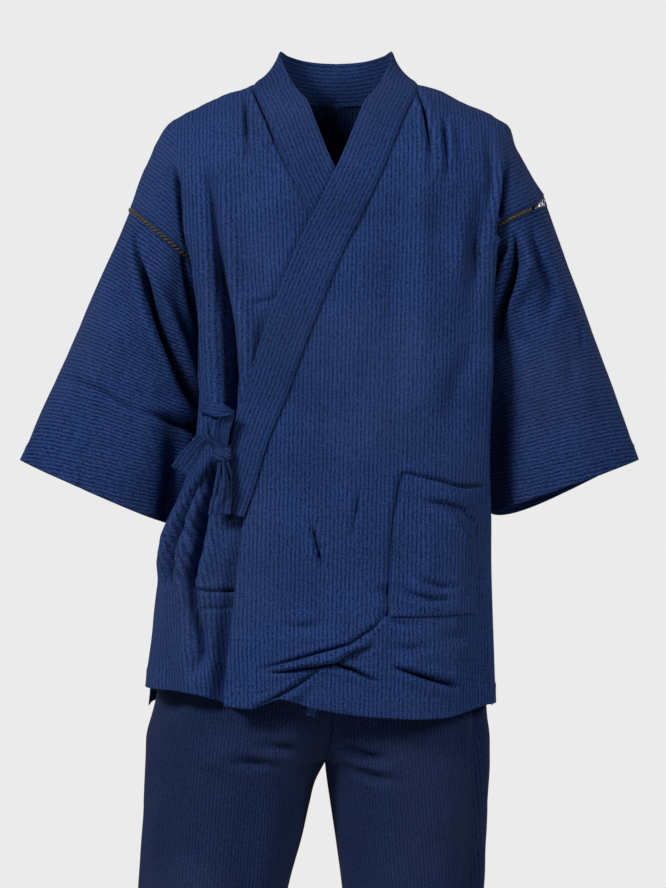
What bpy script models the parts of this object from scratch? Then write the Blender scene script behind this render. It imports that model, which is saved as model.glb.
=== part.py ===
"""Jinbei set as worn: a wrap jacket with a folded collar band, laced-on sleeves, a patch pocket and a
side tie, over knee-length trousers with a gathered waistband and a drawstring. Every cloth piece is its own
hollow wall.

Metres, +Z up. The wearer faces -Y and +X is the wearer's left. The origin is where the shoulders carry the
jacket, midway between the two neck points. "drop" is always a distance below that shoulder line.
"""

import math

import bmesh
import bpy
import numpy as np

for leftover in list(bpy.data.objects):
    bpy.data.objects.remove(leftover)
garment = bpy.data.collections.new("jinbei_set")
bpy.context.scene.collection.children.link(garment)

CLOTH = 0.0016  # wall of one layer of crinkled cotton
BAND = 0.0024  # wall of the collar band, which is folded double
TAPE = 0.0022  # wall of a tie, folded and stitched
SEAM = 0.0003  # air between two pieces that are sewn edge to edge
LAID = 0.0018  # air between a band and the curved panel under it
NAVY = (0.012, 0.030, 0.105, 1.0)
THREAD = (0.010, 0.016, 0.045, 1.0)

ARMPIT = 0.172  # drop of the row where the body tube ends and the shoulders begin
HEM = 0.757
VENT = 0.640  # drop where the side seam opens into the side vent
VENT_GAP = 0.006
SQUARE = 2.9  # superellipse power of the body's cross-section: a round-cornered box
ROUND = 2.4  # superellipse power of the roll over the shoulder
CREST = 0.82  # share of the half width where the front and back turn towards the side
SPREAD = 0.0220  # the body's half width grows by this from the armpit row to the shoulder
LAP = 0.0080  # how far the left front stands off the right front that it covers
LAP_KICK = 0.005  # how much more it stands off at the hem
LAP_FADE = (0.100, 0.175)  # x where that lift fades out towards the left side
TUCK = 0.003  # width of panel that lies under the collar band
NECK = 0.100  # half width of the neck hole at the shoulder
NECK_BACK = 0.370  # share of the shoulder roll that the neck hole takes at the back
FRONT_SPANS, POCKET_COLUMN, RETURN_SPANS, WALL_SPANS, SHOULDER_SPANS = 11, 6, 3, 4, 12
CROWDING = 1.3  # how much closer a panel's columns stand towards the side
LACING_BAR = 0.0012


def table(columns, *rows):
    """A short table with named columns, each column as an array."""
    return dict(zip(columns.split(), np.array(rows, float).T))


# The body tube at rising drops. left, right: half widths to the folds where front and back turn to the sides;
# front, back: depths; side_left, side_right: half widths at the side seams, which the arms press in.
TORSO = table(
    "drop   left   right  front  back   side_left side_right",
    (0.172, 0.1945, 0.1850, 0.122, 0.122, 0.1570, 0.1500),
    (0.200, 0.1925, 0.1790, 0.125, 0.123, 0.1585, 0.1500),
    (0.250, 0.1890, 0.1665, 0.127, 0.122, 0.1625, 0.1500),
    (0.300, 0.1870, 0.1560, 0.128, 0.121, 0.1660, 0.1520),
    (0.350, 0.1865, 0.1560, 0.128, 0.119, 0.1695, 0.1540),
    (0.400, 0.1850, 0.1580, 0.127, 0.117, 0.1730, 0.1590),
    (0.450, 0.1800, 0.1620, 0.126, 0.117, 0.1765, 0.1700),
    (0.500, 0.1730, 0.1740, 0.127, 0.119, 0.1810, 0.1850),
    (0.550, 0.1690, 0.1860, 0.128, 0.122, 0.1850, 0.2040),
    (0.600, 0.1680, 0.1920, 0.130, 0.126, 0.1880, 0.2180),
    (0.680, 0.1690, 0.1980, 0.132, 0.130, 0.1915, 0.2250),
    (0.760, 0.1710, 0.2040, 0.134, 0.132, 0.1940, 0.2330),
)
# The top of the shoulders: how its drop grows outwards.
RIDGE = table(
    "x      drop",
    (0.000, -0.0300),
    (0.050, -0.0265),
    (0.100, -0.0160),
    (0.130, -0.0060),
    (0.170, 0.0110),
    (0.200, 0.0270),
    (0.220, 0.0400),
)
# The collar seam of the left front, which the right front mirrors; below 0.52 it is the bare front edge.
SEAM_LINE = table(
    "drop    x",
    (-0.016, 0.1000),
    (0.000, 0.0965),
    (0.034, 0.0815),
    (0.057, 0.0725),
    (0.102, 0.0552),
    (0.146, 0.0345),
    (0.212, 0.0024),
    (0.255, -0.0153),
    (0.330, -0.0440),
    (0.380, -0.0614),
    (0.4205, -0.0785),
    (0.467, -0.0913),
    (0.520, -0.1090),
    (0.600, -0.1190),
    (0.760, -0.1330),
)
# The free edge of the collar band round the back of the neck, by degrees from the shoulder to the back
# centre, and over the shoulders, by drop of the seam in front. bow: how far the middle of the band sinks in.
NECK_BACK_EDGE = table(
    "turn   x       y       z      bow",
    (90.00, 0.0000, 0.0640, 0.0550, 0.004),
    (55.00, 0.0380, 0.0570, 0.0570, 0.005),
    (28.00, 0.0590, 0.0370, 0.0600, 0.005),
    (0.000, 0.0690, 0.0080, 0.0610, 0.005),
)
NECK_FRONT_EDGE = table(
    "drop    x       y       z      bow",
    (-0.0145, 0.0672, -0.0190, 0.0470, 0.003),
    (-0.0080, 0.0590, -0.0480, 0.0240, 0.000),
    (0.0100, 0.0480, -0.0780, 0.0020, 0.000),
)
BAND_WIDTH = table(
    "drop   width",
    (0.030, 0.0500),
    (0.300, 0.0500),
    (0.380, 0.0470),
    (0.425, 0.0420),
    (0.467, 0.0330),
    (0.520, 0.0120),
)
BAND_DROPS = (0.034, 0.057, 0.080, 0.102, 0.125, 0.150, 0.180, 0.212, 0.250, 0.290, 0.330, 0.370, 0.405,
              0.440, 0.475, 0.518)
HIDDEN_BAND_ROWS = 13  # the right half of the band is as long as this many of those rows
BODY_DROPS = (0.210, 0.245, 0.290, 0.345, 0.405, 0.466, 0.520, 0.580, 0.636, 0.685, 0.725, HEM)
BACK_DROPS = (0.210, 0.245, 0.310, 0.380, 0.450, 0.520, 0.600, 0.680, HEM)
POCKET_TOP, POCKET_BOTTOM = BODY_DROPS.index(0.466), BODY_DROPS.index(0.636)
POCKET_SAG = table("share  down", (0.0, 0.000), (0.4, 0.010), (0.75, 0.018), (1.0, 0.017))
# How far each front hem corner is drawn up, by x on that front's own side.
HEM_RISE = {
    "left": table(
        "x      rise",
        (-0.135, 0.0140),
        (-0.090, 0.0130),
        (-0.070, 0.0220),
        (-0.028, 0.0125),
        (0.016, 0.0045),
        (0.062, 0.0000),
        (0.132, 0.0000),
        (0.180, 0.0110),
    ),
    "right": table("x rise", (0.000, 0.0120), (0.130, 0.0135), (0.170, 0.0264), (0.230, 0.0300)),
}
# Each arm: where the sleeve's top fold starts, its lean from vertical, its length and the laced gap above
# it; how far round the sleeve's ring the fold of the body hides it; the lean of the shoulder's outline where
# it leaves the shoulder corner and where it meets the lacing; threads on each half of the lacing.
ARMS = {
    "left": {
        "sign": 1, "x": 0.2635, "drop": 0.134, "lean": 19.8, "length": 0.335,
        "gap": 0.0052, "top_gap": 0.0110,
        "hidden": math.radians(112), "corner_lean": 18, "edge_lean": 36, "cells": 16,
    },
    "right": {
        "sign": -1, "x": 0.2580, "drop": 0.141, "lean": 23.5, "length": 0.337,
        "gap": 0.0055, "top_gap": 0.0010,
        "hidden": math.radians(126), "corner_lean": 42, "edge_lean": 22, "cells": 12,
    },
}
# A sleeve's flattened tube, by distance down the arm: width in the front view, how steeply that width slopes
# down to the body in degrees, depth from front to back, forward lean, how much lower the back wall hangs.
SLEEVES = {
    "left": table(
        "down   width  slope depth  forward lower_back",
        (0.000, 0.1085, 26.0, 0.166, 0.000, 0.000),
        (0.060, 0.1240, 25.0, 0.164, 0.001, 0.000),
        (0.126, 0.1430, 23.5, 0.152, 0.003, 0.002),
        (0.184, 0.1600, 22.0, 0.138, 0.006, 0.005),
        (0.248, 0.1760, 21.0, 0.122, 0.009, 0.009),
        (0.340, 0.1950, 19.5, 0.100, 0.012, 0.014),
    ),
    "right": table(
        "down   width  slope depth  forward lower_back",
        (0.000, 0.1280, 40.0, 0.166, 0.000, 0.000),
        (0.060, 0.1450, 36.0, 0.156, 0.001, 0.000),
        (0.126, 0.1670, 31.5, 0.138, 0.003, 0.000),
        (0.184, 0.1850, 28.5, 0.120, 0.006, 0.000),
        (0.248, 0.1970, 26.0, 0.105, 0.009, 0.000),
        (0.340, 0.2060, 23.5, 0.094, 0.012, 0.000),
    ),
}
SLEEVE_ROWS = 13
SLEEVE_GIRTH = 0.46  # turns a share of the way round into metres
# Rows of the shoulder roll: even ones up the front, then down the back closer together round the neck hole.
FRONT_SHARES = np.arange(SHOULDER_SPANS + 1) / SHOULDER_SPANS
ROUND_NECK = 1 - NECK_BACK * np.sin(np.radians((18, 36, 54, 72, 90)))
BACK_SHARES = np.append(ROUND_NECK, (1 - NECK_BACK) * np.arange(5, -1, -1) / 6)
# The folds of the jacket body: from (x, drop) to (x2, drop2), half width and depth, negative for a ridge.
# They are seen from the front, or from the back for the two back halves.
FOLDS = {
    "left": table(
        "x      drop   x2     drop2  half   depth",
        (0.112, 0.110, 0.138, 0.300, 0.014, 0.005),
        (0.160, 0.130, 0.166, 0.330, 0.013, 0.007),
        (-0.105, 0.706, 0.062, 0.642, 0.012, 0.006),
        (-0.100, 0.728, 0.050, 0.672, 0.012, -0.005),
        (-0.015, 0.694, 0.060, 0.722, 0.012, 0.006),
        (0.070, 0.698, 0.135, 0.720, 0.012, 0.006),
    ),
    "right": table(
        "x      drop   x2     drop2  half   depth",
        (0.159, 0.080, 0.147, 0.210, 0.015, 0.009),
        (0.147, 0.210, 0.130, 0.420, 0.015, 0.015),
        (0.136, 0.455, 0.176, 0.620, 0.011, 0.013),
        (0.174, 0.590, 0.165, 0.715, 0.013, 0.011),
        (0.150, 0.445, 0.196, 0.590, 0.008, 0.009),
    ),
    "back": table(
        "x      drop   x2     drop2  half   depth",
        (0.120, 0.080, 0.140, 0.300, 0.016, 0.006),
        (0.070, 0.300, 0.090, 0.560, 0.020, 0.006),
        (0.140, 0.360, 0.150, 0.640, 0.016, 0.007),
        (0.020, 0.430, 0.110, 0.470, 0.014, 0.004),
    ),
}
# The deep fold down each sleeve's front and a shallow one beside it: from (down, share of the way round) to
# (down2, share2), half width in metres and depth.
SLEEVE_FOLDS = {
    "left": table(
        "down   share  down2  share2 half   depth",
        (0.025, 0.230, 0.160, 0.350, 0.020, 0.017),
        (0.030, 0.110, 0.220, 0.160, 0.022, 0.004),
        (0.020, 0.700, 0.180, 0.620, 0.022, 0.012),
    ),
    "right": table(
        "down   share  down2  share2 half   depth",
        (0.020, 0.150, 0.190, 0.330, 0.021, 0.018),
        (0.120, 0.130, 0.320, 0.180, 0.022, 0.004),
        (0.020, 0.720, 0.190, 0.620, 0.022, 0.013),
    ),
}
# The trousers at rising drops: x of the middle seam or of each leg's inner side, x of the outer sides, depth
# to the front and to the back, how far the two leg tubes have parted (0 at the waist, 1 below the crotch).
TROUSERS = table(
    "drop   inner_left inner_right outer_left outer_right front  back   parted",
    (0.495, -0.0030, -0.0030, 0.152, -0.160, 0.100, 0.098, 0.00),
    (0.520, -0.0030, -0.0030, 0.164, -0.175, 0.107, 0.106, 0.00),
    (0.580, -0.0030, -0.0030, 0.173, -0.192, 0.112, 0.112, 0.03),
    (0.660, -0.0030, -0.0030, 0.179, -0.207, 0.115, 0.117, 0.10),
    (0.720, -0.0030, -0.0030, 0.184, -0.219, 0.116, 0.118, 0.24),
    (0.755, -0.0035, -0.0035, 0.188, -0.226, 0.116, 0.117, 0.42),
    (0.790, -0.0070, -0.0070, 0.193, -0.236, 0.114, 0.114, 0.68),
    (0.812, -0.0115, -0.0115, 0.193, -0.238, 0.112, 0.111, 0.87),
    (0.829, -0.0140, -0.0145, 0.1925, -0.239, 0.110, 0.109, 1.00),
    (0.850, -0.0115, -0.0255, 0.191, -0.240, 0.108, 0.106, 1.00),
    (0.900, -0.0040, -0.0370, 0.188, -0.2430, 0.104, 0.102, 1.00),
    (0.985, 0.0075, -0.0600, 0.184, -0.2475, 0.098, 0.098, 1.00),
    (1.050, 0.0140, -0.0730, 0.181, -0.2520, 0.095, 0.096, 1.00),
    (1.110, 0.0190, -0.0820, 0.178, -0.2560, 0.094, 0.095, 1.00),
)
TROUSER_DROPS = (0.495, 0.520, 0.580, 0.640, 0.690, 0.730, 0.765, 0.795, 0.815, 0.829, 0.850, 0.880, 0.920,
                 0.970, 1.020, 1.070, 1.110)
CROTCH_ROW = TROUSER_DROPS.index(0.829)
TROUSER_SPANS = 18
TROUSER_GIRTH = 0.58
# Creases of the trouser legs, by share of the way round from the inner front: at the crotch, then long ones.
TROUSER_FOLDS = {
    "left": table(
        "drop   share  drop2  share2 half   depth",
        (0.780, 0.110, 0.815, 0.260, 0.010, 0.006),
        (0.840, 0.130, 1.060, 0.150, 0.016, 0.007),
        (0.830, 0.880, 1.080, 0.850, 0.018, 0.008),
    ),
    "right": table(
        "drop   share  drop2  share2 half   depth",
        (0.775, 0.130, 0.815, 0.300, 0.011, 0.007),
        (0.850, 0.160, 1.060, 0.220, 0.018, 0.006),
        (0.830, 0.880, 1.080, 0.850, 0.018, 0.008),
    ),
}
WAISTBAND_TOP = 0.456
WAIST_GATHERS = 24
GATHER = 0.0012
# The side tie: every tape of it as points along its middle, with its width there.
KNOT = {"x": -0.1362, "y": -0.1350, "drop": 0.4425, "width": 0.020, "height": 0.0165, "depth": 0.015}
TIE_TAPES = {
    "tie_loop": table(
        "x       y       drop   width  turn",
        (-0.1455, -0.1350, 0.4325, 0.0080, 0),
        (-0.1535, -0.1400, 0.4150, 0.0150, 0),
        (-0.1580, -0.1450, 0.3985, 0.0180, 20),
        (-0.1510, -0.1490, 0.3880, 0.0190, 55),
        (-0.1390, -0.1500, 0.3880, 0.0190, 60),
        (-0.1280, -0.1480, 0.3965, 0.0180, 40),
        (-0.1300, -0.1430, 0.4140, 0.0140, 10),
        (-0.1340, -0.1400, 0.4305, 0.0080, 0),
    ),
    "tie_end_side": table(
        "x       y       drop   width  turn",
        (-0.1480, -0.1310, 0.4380, 0.0090, 0),
        (-0.1570, -0.1290, 0.4370, 0.0150, 0),
        (-0.1680, -0.1260, 0.4415, 0.0190, 0),
        (-0.1790, -0.1220, 0.4510, 0.0205, 0),
        (-0.1885, -0.1180, 0.4620, 0.0205, 0),
    ),
    "tie_end_front": table(
        "x       y       drop   width  turn",
        (-0.1358, -0.1370, 0.4525, 0.0100, 0),
        (-0.1348, -0.1395, 0.4665, 0.0120, 25),
        (-0.1370, -0.1400, 0.4870, 0.0180, 35),
        (-0.1406, -0.1400, 0.5130, 0.0250, 10),
    ),
    "tie_front": table(
        "x       y       drop   width  turn",
        (-0.1060, -0.1240, 0.4300, 0.0190, 0),
        (-0.1150, -0.1215, 0.4310, 0.0180, 0),
        (-0.1220, -0.1203, 0.4345, 0.0140, 0),
        (-0.1315, -0.1235, 0.4400, 0.0100, 0),
    ),
}
# The ends of each tape that go into the knot.
TAPES_AT_KNOT = {"tie_loop": (0, -1), "tie_end_side": (0,), "tie_end_front": (0,), "tie_front": (-1,)}
SIDE_TIE = {"top": 0.422, "bottom": 0.442, "off": 0.0010}  # drops of its edges and its distance off the panel
# The drawstring's two hanging ends, from the waistband down.
DRAWSTRING_WIDTH = 0.011
DRAWSTRING_WALL = 0.0022
DRAWSTRINGS = {
    "drawstring_long": table(
        "x       y       drop",
        (-0.0120, -0.1054, 0.4850),
        (-0.0135, -0.1112, 0.5250),
        (-0.0150, -0.1166, 0.5900),
        (-0.0170, -0.1190, 0.6600),
        (-0.0195, -0.1200, 0.7200),
        (-0.0235, -0.1208, 0.7625),
    ),
    "drawstring_short": table(
        "x       y       drop",
        (0.0090, -0.1054, 0.4850),
        (0.0100, -0.1112, 0.5250),
        (0.0105, -0.1166, 0.5900),
        (0.0110, -0.1190, 0.6500),
        (0.0115, -0.1200, 0.7000),
    ),
}


def smooth(knots, values, x):
    """A smooth curve through (knots, values), read at x."""
    x = np.asarray(x, float)
    slopes = np.gradient(values, knots)
    i = np.clip(np.searchsorted(knots, x) - 1, 0, len(knots) - 2)
    step = knots[i + 1] - knots[i]
    t = np.clip((x - knots[i]) / step, 0, 1)
    start = (1 + 2 * t) * (1 - t) ** 2 * values[i] + t * (1 - t) ** 2 * step * slopes[i]
    return start + t * t * (3 - 2 * t) * values[i + 1] - t * t * (1 - t) * step * slopes[i + 1]


def ease(x):
    """0 below 0, 1 above 1, and a smooth step between."""
    x = np.clip(x, 0, 1)
    return x * x * (3 - 2 * x)


def unit(v):
    return v / np.maximum(np.linalg.norm(v, axis=-1, keepdims=True), 1e-12)


def folds(rows, across, down):
    """Summed depth of a table of folds at points (across, down); each fold fades out at both its ends."""
    first, last = list(rows)[:4], list(rows)[4:]
    across, down = np.broadcast_arrays(across, down)
    total = np.zeros(across.shape)
    for i in range(len(rows[first[0]])):
        if first[0] == "x":
            x, y, x2, y2 = (rows[c][i] for c in first)
        else:
            y, x, y2, x2 = (rows[c][i] for c in first)
        long = math.hypot(x2 - x, y2 - y)
        along = ((across - x) * (x2 - x) + (down - y) * (y2 - y)) / long**2
        away = ((across - x) * (y2 - y) - (down - y) * (x2 - x)) / long
        half, depth = (rows[c][i] for c in last)
        fade = ease((along + 0.15) / 0.4) * ease((1.15 - along) / 0.4)
        total += depth * np.exp(-((away / half) ** 2)) * fade
    return total


def half_width(side, own_x, drop):
    """Half width of the body's superellipse on the side that own_x lies on."""
    other = {"left": "right", "right": "left"}[side]
    own, far = (smooth(TORSO["drop"], TORSO[s], drop) / CREST for s in (side, other))
    return np.where(np.asarray(own_x) >= 0, own, far)


def roll(share):
    """The shoulder roll at a share of its way up: (share of the depth left, share of the height gained)."""
    angle = share * math.pi / 2
    return math.cos(angle) ** (2 / ROUND) if share < 1 else 0.0, math.sin(angle) ** (2 / ROUND)


def body_point(side, own_x, drop, face):
    """A point of the jacket body below the armpits. face is "front" or "back"."""
    wide = half_width(side, own_x, drop)
    deep = smooth(TORSO["drop"], TORSO[face], drop) * (-1 if face == "front" else 1)
    level = (1 - np.minimum(np.abs(own_x) / wide, 1) ** SQUARE) ** (1 / SQUARE)
    return np.stack([own_x, deep * level, -drop * np.ones_like(own_x)], axis=-1)


def curve(start, leave, arrive, end, spans):
    """Points after the start of a curve from start to end, by its two handles."""
    t = np.linspace(0, 1, spans + 1)[1:, None]
    return (1 - t) ** 3 * start + 3 * t * (1 - t) ** 2 * leave + 3 * t * t * (1 - t) * arrive + t**3 * end


def side_points(side, drop, face):
    """The body from the fold at its front or back to the side seam, pressed in behind it by the arm."""
    crest_x = float(smooth(TORSO["drop"], TORSO[side], drop))
    crest, before = body_point(side, np.array([crest_x, crest_x - 0.002]), drop, face)
    seam_x = float(smooth(TORSO["drop"], TORSO["side_" + side], drop))
    pressed = float(ease((crest_x - seam_x) / 0.02 + 0.5))
    leave = crest + unit(crest - before) * (0.038 - 0.032 * pressed)
    arrive = np.array([seam_x, crest[1] * (0.55 + 0.35 * pressed), -drop])
    opening = SEAM / 2 + VENT_GAP / 2 * float(ease((drop - VENT) / 0.05))
    end = np.array([seam_x, math.copysign(opening, crest[1]), -drop])
    return curve(crest, leave, arrive, end, RETURN_SPANS + WALL_SPANS)


def shoulder_point(side, own_x, share, face):
    """A point of the shoulder roll at a share of its way up from the armpit row."""
    level, height = roll(share)
    flat = body_point(side, own_x, ARMPIT, face)
    wide = half_width(side, own_x, ARMPIT) + SPREAD * share
    deep = smooth(TORSO["drop"], TORSO[face], ARMPIT) * (-1 if face == "front" else 1)
    y = deep * (1 - np.minimum(np.abs(own_x) / wide, 1) ** SQUARE) ** (1 / SQUARE) * level
    ridge = smooth(RIDGE["x"], RIDGE["drop"], np.abs(own_x))
    return np.stack([flat[..., 0], y, -(ARMPIT + (ridge - ARMPIT) * height)], axis=-1)


def front_surface(side, own_x, drop):
    """The front of the body or shoulder at any x and drop, for what lies on it."""
    own_x, drop = np.broadcast_arrays(np.asarray(own_x, float), np.asarray(drop, float))
    low = body_point(side, own_x, np.maximum(drop, ARMPIT), "front")
    ridge = smooth(RIDGE["x"], RIDGE["drop"], np.abs(own_x))
    height = np.clip((ARMPIT - drop) / (ARMPIT - ridge), 0, 1)
    share = np.arcsin(height ** (ROUND / 2)) / (math.pi / 2)
    wide = half_width(side, own_x, ARMPIT) + SPREAD * share
    deep = -smooth(TORSO["drop"], TORSO["front"], ARMPIT)
    y = deep * (1 - np.minimum(np.abs(own_x) / wide, 1) ** SQUARE) ** (1 / SQUARE)
    y = y * (1 - height**ROUND) ** (1 / ROUND)
    return np.stack([own_x, np.where(drop >= ARMPIT, low[..., 1], y), -drop], axis=-1)


def lap_lift(x, drop):
    """How far the left front stands out over the right front."""
    fade = 1 - ease((x - LAP_FADE[0]) / (LAP_FADE[1] - LAP_FADE[0]))
    return (LAP + LAP_KICK * ease((drop - 0.60) / 0.08)) * fade * ease((drop - 0.02) / 0.07)


def edge_x(share):
    """x where the front panel ends under the collar band, at a share of the shoulder roll."""
    x = NECK
    for _ in range(30):
        drop = -shoulder_point("left", np.array([x]), share, "front")[0, 2]
        x = float(smooth(SEAM_LINE["drop"], SEAM_LINE["x"], drop))
    return x - TUCK


def neck_x(share):
    """x of the neck hole on the back, at a share of the shoulder roll: an ellipse about the back neck."""
    reach = (1 - share) / NECK_BACK
    return (NECK - TUCK) * math.sqrt(1 - reach**2) if reach < 1 else SEAM / 2


def leaning(side, degrees):
    """Unit vector downwards and outwards, at an angle from vertical."""
    lean = math.radians(degrees)
    return np.array([ARMS[side]["sign"] * math.sin(lean), 0, -math.cos(lean)])


def sleeve_point(side, distance, turn):
    """A point of the sleeve's tube; turn goes from 0 at the top fold over the front to pi at the underarm."""
    arm, form = ARMS[side], SLEEVES[side]
    wide, slope, deep, forward, lower = (
        smooth(form["down"], form[c], distance) for c in ("width", "slope", "depth", "forward", "lower_back")
    )
    start = np.array([arm["sign"] * arm["x"], 0, -arm["drop"]])
    slope = math.radians(slope)
    across = np.array([-arm["sign"] * math.cos(slope), 0, -math.sin(slope)])
    offset = wide / 2 * (1 - math.cos(turn))
    back = max(0.0, -math.sin(turn)) * (1 - math.cos(turn)) / 1.3
    point = start + leaning(side, arm["lean"]) * (distance + lower * back) + across * offset
    return point + np.array([0, -deep / 2 * math.sin(turn) - forward, 0])


def cap_edge(side, turn):
    """A point of the edge that the sleeve is laced to: the sleeve's top ring moved up by the laced gap."""
    arm = ARMS[side]
    bend = min(turn, 2 * math.pi - turn)
    gap = arm["gap"] + arm["top_gap"] * math.exp(-((bend / 0.55) ** 2))
    return sleeve_point(side, 0, turn) - leaning(side, arm["lean"]) * gap


def armhole_point(side, turn, face):
    """A point of the armhole; where the body hangs down inside the sleeve's ring it stands clear of it."""
    hidden = ARMS[side]["hidden"]
    inside = float(ease((turn - hidden + 0.35) / 0.30))
    if face == "back":
        turn = 2 * math.pi - turn
    down = leaning(side, ARMS[side]["lean"])
    along = sleeve_point(side, 0, turn + 0.01) - sleeve_point(side, 0, turn - 0.01)
    away = unit(np.cross(along, down)) * ARMS[side]["sign"]
    return cap_edge(side, turn) + (away - 0.3 * down) * (CLOTH + 2 * SEAM) * inside


def cap_points(side, crest, climb, face):
    """From the fold at the front or back of the shoulder to the armhole. climb is 0 at the lowest row that
    reaches the armhole, which runs on along it to the side seam, and 1 on top of the shoulder."""
    arm = ARMS[side]
    end = armhole_point(side, arm["hidden"] * (1 - climb), face)
    straight = unit(end - crest)
    top = float(ease((climb - 0.3) / 0.7))
    leave = unit(straight * (1 - top) + leaning(side, arm["corner_lean"]) * top)
    arrive = unit(straight * (1 - top) + leaning(side, arm["edge_lean"]) * top)
    reach = float(np.linalg.norm(end - crest)) / 3
    cap = curve(crest, crest + leave * reach, end - arrive * reach, end, RETURN_SPANS)
    if climb > 0:
        return np.concatenate([cap, np.repeat(end[None], WALL_SPANS, axis=0)])
    turns = np.linspace(arm["hidden"], math.pi, WALL_SPANS + 1)[1:]
    under = np.array([armhole_point(side, t, face) for t in turns])
    under[-1, 1] += SEAM / 2 * (-1 if face == "front" else 1)
    return np.concatenate([cap, under])


def columns(start, crest_x):
    """x of a panel's columns, closer together towards the side."""
    return crest_x + (start - crest_x) * (1 - np.arange(FRONT_SPANS + 1) / FRONT_SPANS) ** CROWDING


def body_row(side, drop, face):
    """One row of a body panel below the shoulders, from its front edge or back seam to the side seam."""
    crest_x = float(smooth(TORSO["drop"], TORSO[side], drop))
    if face == "front":
        start = float(smooth(SEAM_LINE["drop"], SEAM_LINE["x"], drop)) - TUCK * (drop < 0.52)
    else:
        start = SEAM / 2
    row = body_point(side, columns(start, crest_x), drop, face)
    if side == "right" and drop == BODY_DROPS[0]:
        mirrored = np.array([-1, 1, 1])
        return np.concatenate([row, cap_points(side, row[-1] * mirrored, 0.0, face) * mirrored])
    row = np.concatenate([row, side_points(side, drop, face)])
    if face == "front":
        rise = smooth(HEM_RISE[side]["x"], HEM_RISE[side]["rise"], row[:, 0])
        row[:, 2] += rise * ease((drop - 0.55) / (HEM - 0.55)) ** 2
    return row


def shoulder_row(side, share, face):
    """One row of a body panel over the shoulder, from the neck to the laced edge of the sleeve."""
    crest_x = (float(half_width(side, 1.0, ARMPIT)) + SPREAD * share) * CREST
    start = edge_x(share) if face == "front" else neck_x(share)
    row = shoulder_point(side, columns(start, crest_x), share, face)
    climb = share if side == "left" else (1 + SHOULDER_SPANS * share) / (1 + SHOULDER_SPANS)
    mirrored = np.array([ARMS[side]["sign"], 1, 1])
    return np.concatenate([row, cap_points(side, row[-1] * mirrored, climb, face) * mirrored])


def moved_out(grid, distance, sign):
    """Every point of a grid of points moved along the surface's normal."""
    along, over = np.gradient(grid, axis=1), np.gradient(grid, axis=0)
    return grid + unit(np.cross(along, over)) * sign * np.asarray(distance)[..., None]


def panel_grid(side):
    """The inner face of one body panel, which runs from the front hem over the shoulder to the back hem."""
    front = [body_row(side, d, "front") for d in reversed(BODY_DROPS)]
    front += [shoulder_row(side, s, "front") for s in FRONT_SHARES]
    back = [shoulder_row(side, s, "back") for s in BACK_SHARES]
    grid = np.array(front + back + [body_row(side, d, "back") for d in BACK_DROPS])
    on_front = np.arange(len(grid))[:, None] < len(front)
    x, drop = grid[..., 0], -grid[..., 2]
    inner = np.arange(grid.shape[1]) <= FRONT_SPANS
    depth = np.where(on_front, folds(FOLDS[side], x, drop), folds(FOLDS["back"], x, drop)) * inner
    lift = lap_lift(x, drop) * on_front * inner if side == "left" else 0
    out = moved_out(grid, lift - depth, 1)
    return out * np.array([ARMS[side]["sign"], 1, 1])


def mesh_object(name, points, faces, colour=NAVY):
    mesh = bpy.data.meshes.new(name)
    mesh.from_pydata([tuple(p) for p in points], [], faces)
    mesh.update()
    thing = bpy.data.objects.new(name, mesh)
    garment.objects.link(thing)
    thing.data.materials.append(cloth_material(name, colour))
    return thing


def cloth_material(name, colour):
    material = bpy.data.materials.new(name)
    material.use_nodes = True
    shader = material.node_tree.nodes["Principled BSDF"]
    shader.inputs["Base Color"].default_value = colour
    shader.inputs["Roughness"].default_value = 0.85
    shader.inputs["Metallic"].default_value = 0.0
    return material


def shell(name, grid, thickness, closed_from=None, flip=False, inwards=False, left_out=None):
    """A cloth wall on a grid of points. From row closed_from on, its rows are closed rings."""
    rows, columns = grid.shape[:2]
    index = np.arange(rows * columns).reshape(rows, columns)
    if closed_from is not None:
        index[closed_from:, -1] = index[closed_from:, 0]
    faces = [
        (index[r, c], index[r, c + 1], index[r + 1, c + 1], index[r + 1, c])
        for r in range(rows - 1)
        for c in range(columns - 1)
        if left_out is None or not left_out(r, c)
    ]
    faces = [[int(v) for v in (face[::-1] if flip else face)] for face in faces]
    thing = mesh_object(name, grid.reshape(-1, 3), faces)
    loose = bmesh.new()
    loose.from_mesh(thing.data)
    bmesh.ops.delete(loose, geom=[v for v in loose.verts if not v.link_faces], context="VERTS")
    loose.to_mesh(thing.data)
    loose.free()
    thicken(thing, thickness, inwards)
    return thing


def thicken(thing, thickness, inwards=False):
    wall = thing.modifiers.new("wall", "SOLIDIFY")
    wall.thickness = thickness
    wall.offset = -1 if inwards else 1
    wall.use_even_offset = False


def make_body_panels():
    grids = {side: panel_grid(side) for side in ARMS}
    for side, grid in grids.items():
        lower = side == "right"
        first = len(BODY_DROPS)
        armhole = range(first - lower, first + len(FRONT_SHARES) + len(BACK_SHARES) - 1 + lower)
        shell(
            f"body_panel_{side}", grid, CLOTH, flip=side == "right",
            left_out=lambda r, c, armhole=armhole: r in armhole and c >= FRONT_SPANS + RETURN_SPANS,
        )
    return grids


def make_pocket(panel):
    """A patch pocket on the left front, made of the panel's own points; its mouth sags."""
    hem_row = len(BODY_DROPS) - 1
    top, bottom = hem_row - POCKET_TOP, hem_row - POCKET_BOTTOM
    on_panel = moved_out(panel, np.full(panel.shape[:2], CLOTH + 2 * SEAM), 1)
    patch = on_panel[bottom : top + 1, POCKET_COLUMN : FRONT_SPANS + 1].copy()
    step = patch[-2] - patch[-1]
    share = np.linspace(0, 1, patch.shape[1])
    down = smooth(POCKET_SAG["share"], POCKET_SAG["down"], share) / np.abs(step[:, 2])
    patch[-1] += step * down[:, None]
    shell("pocket", patch, CLOTH)


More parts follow.
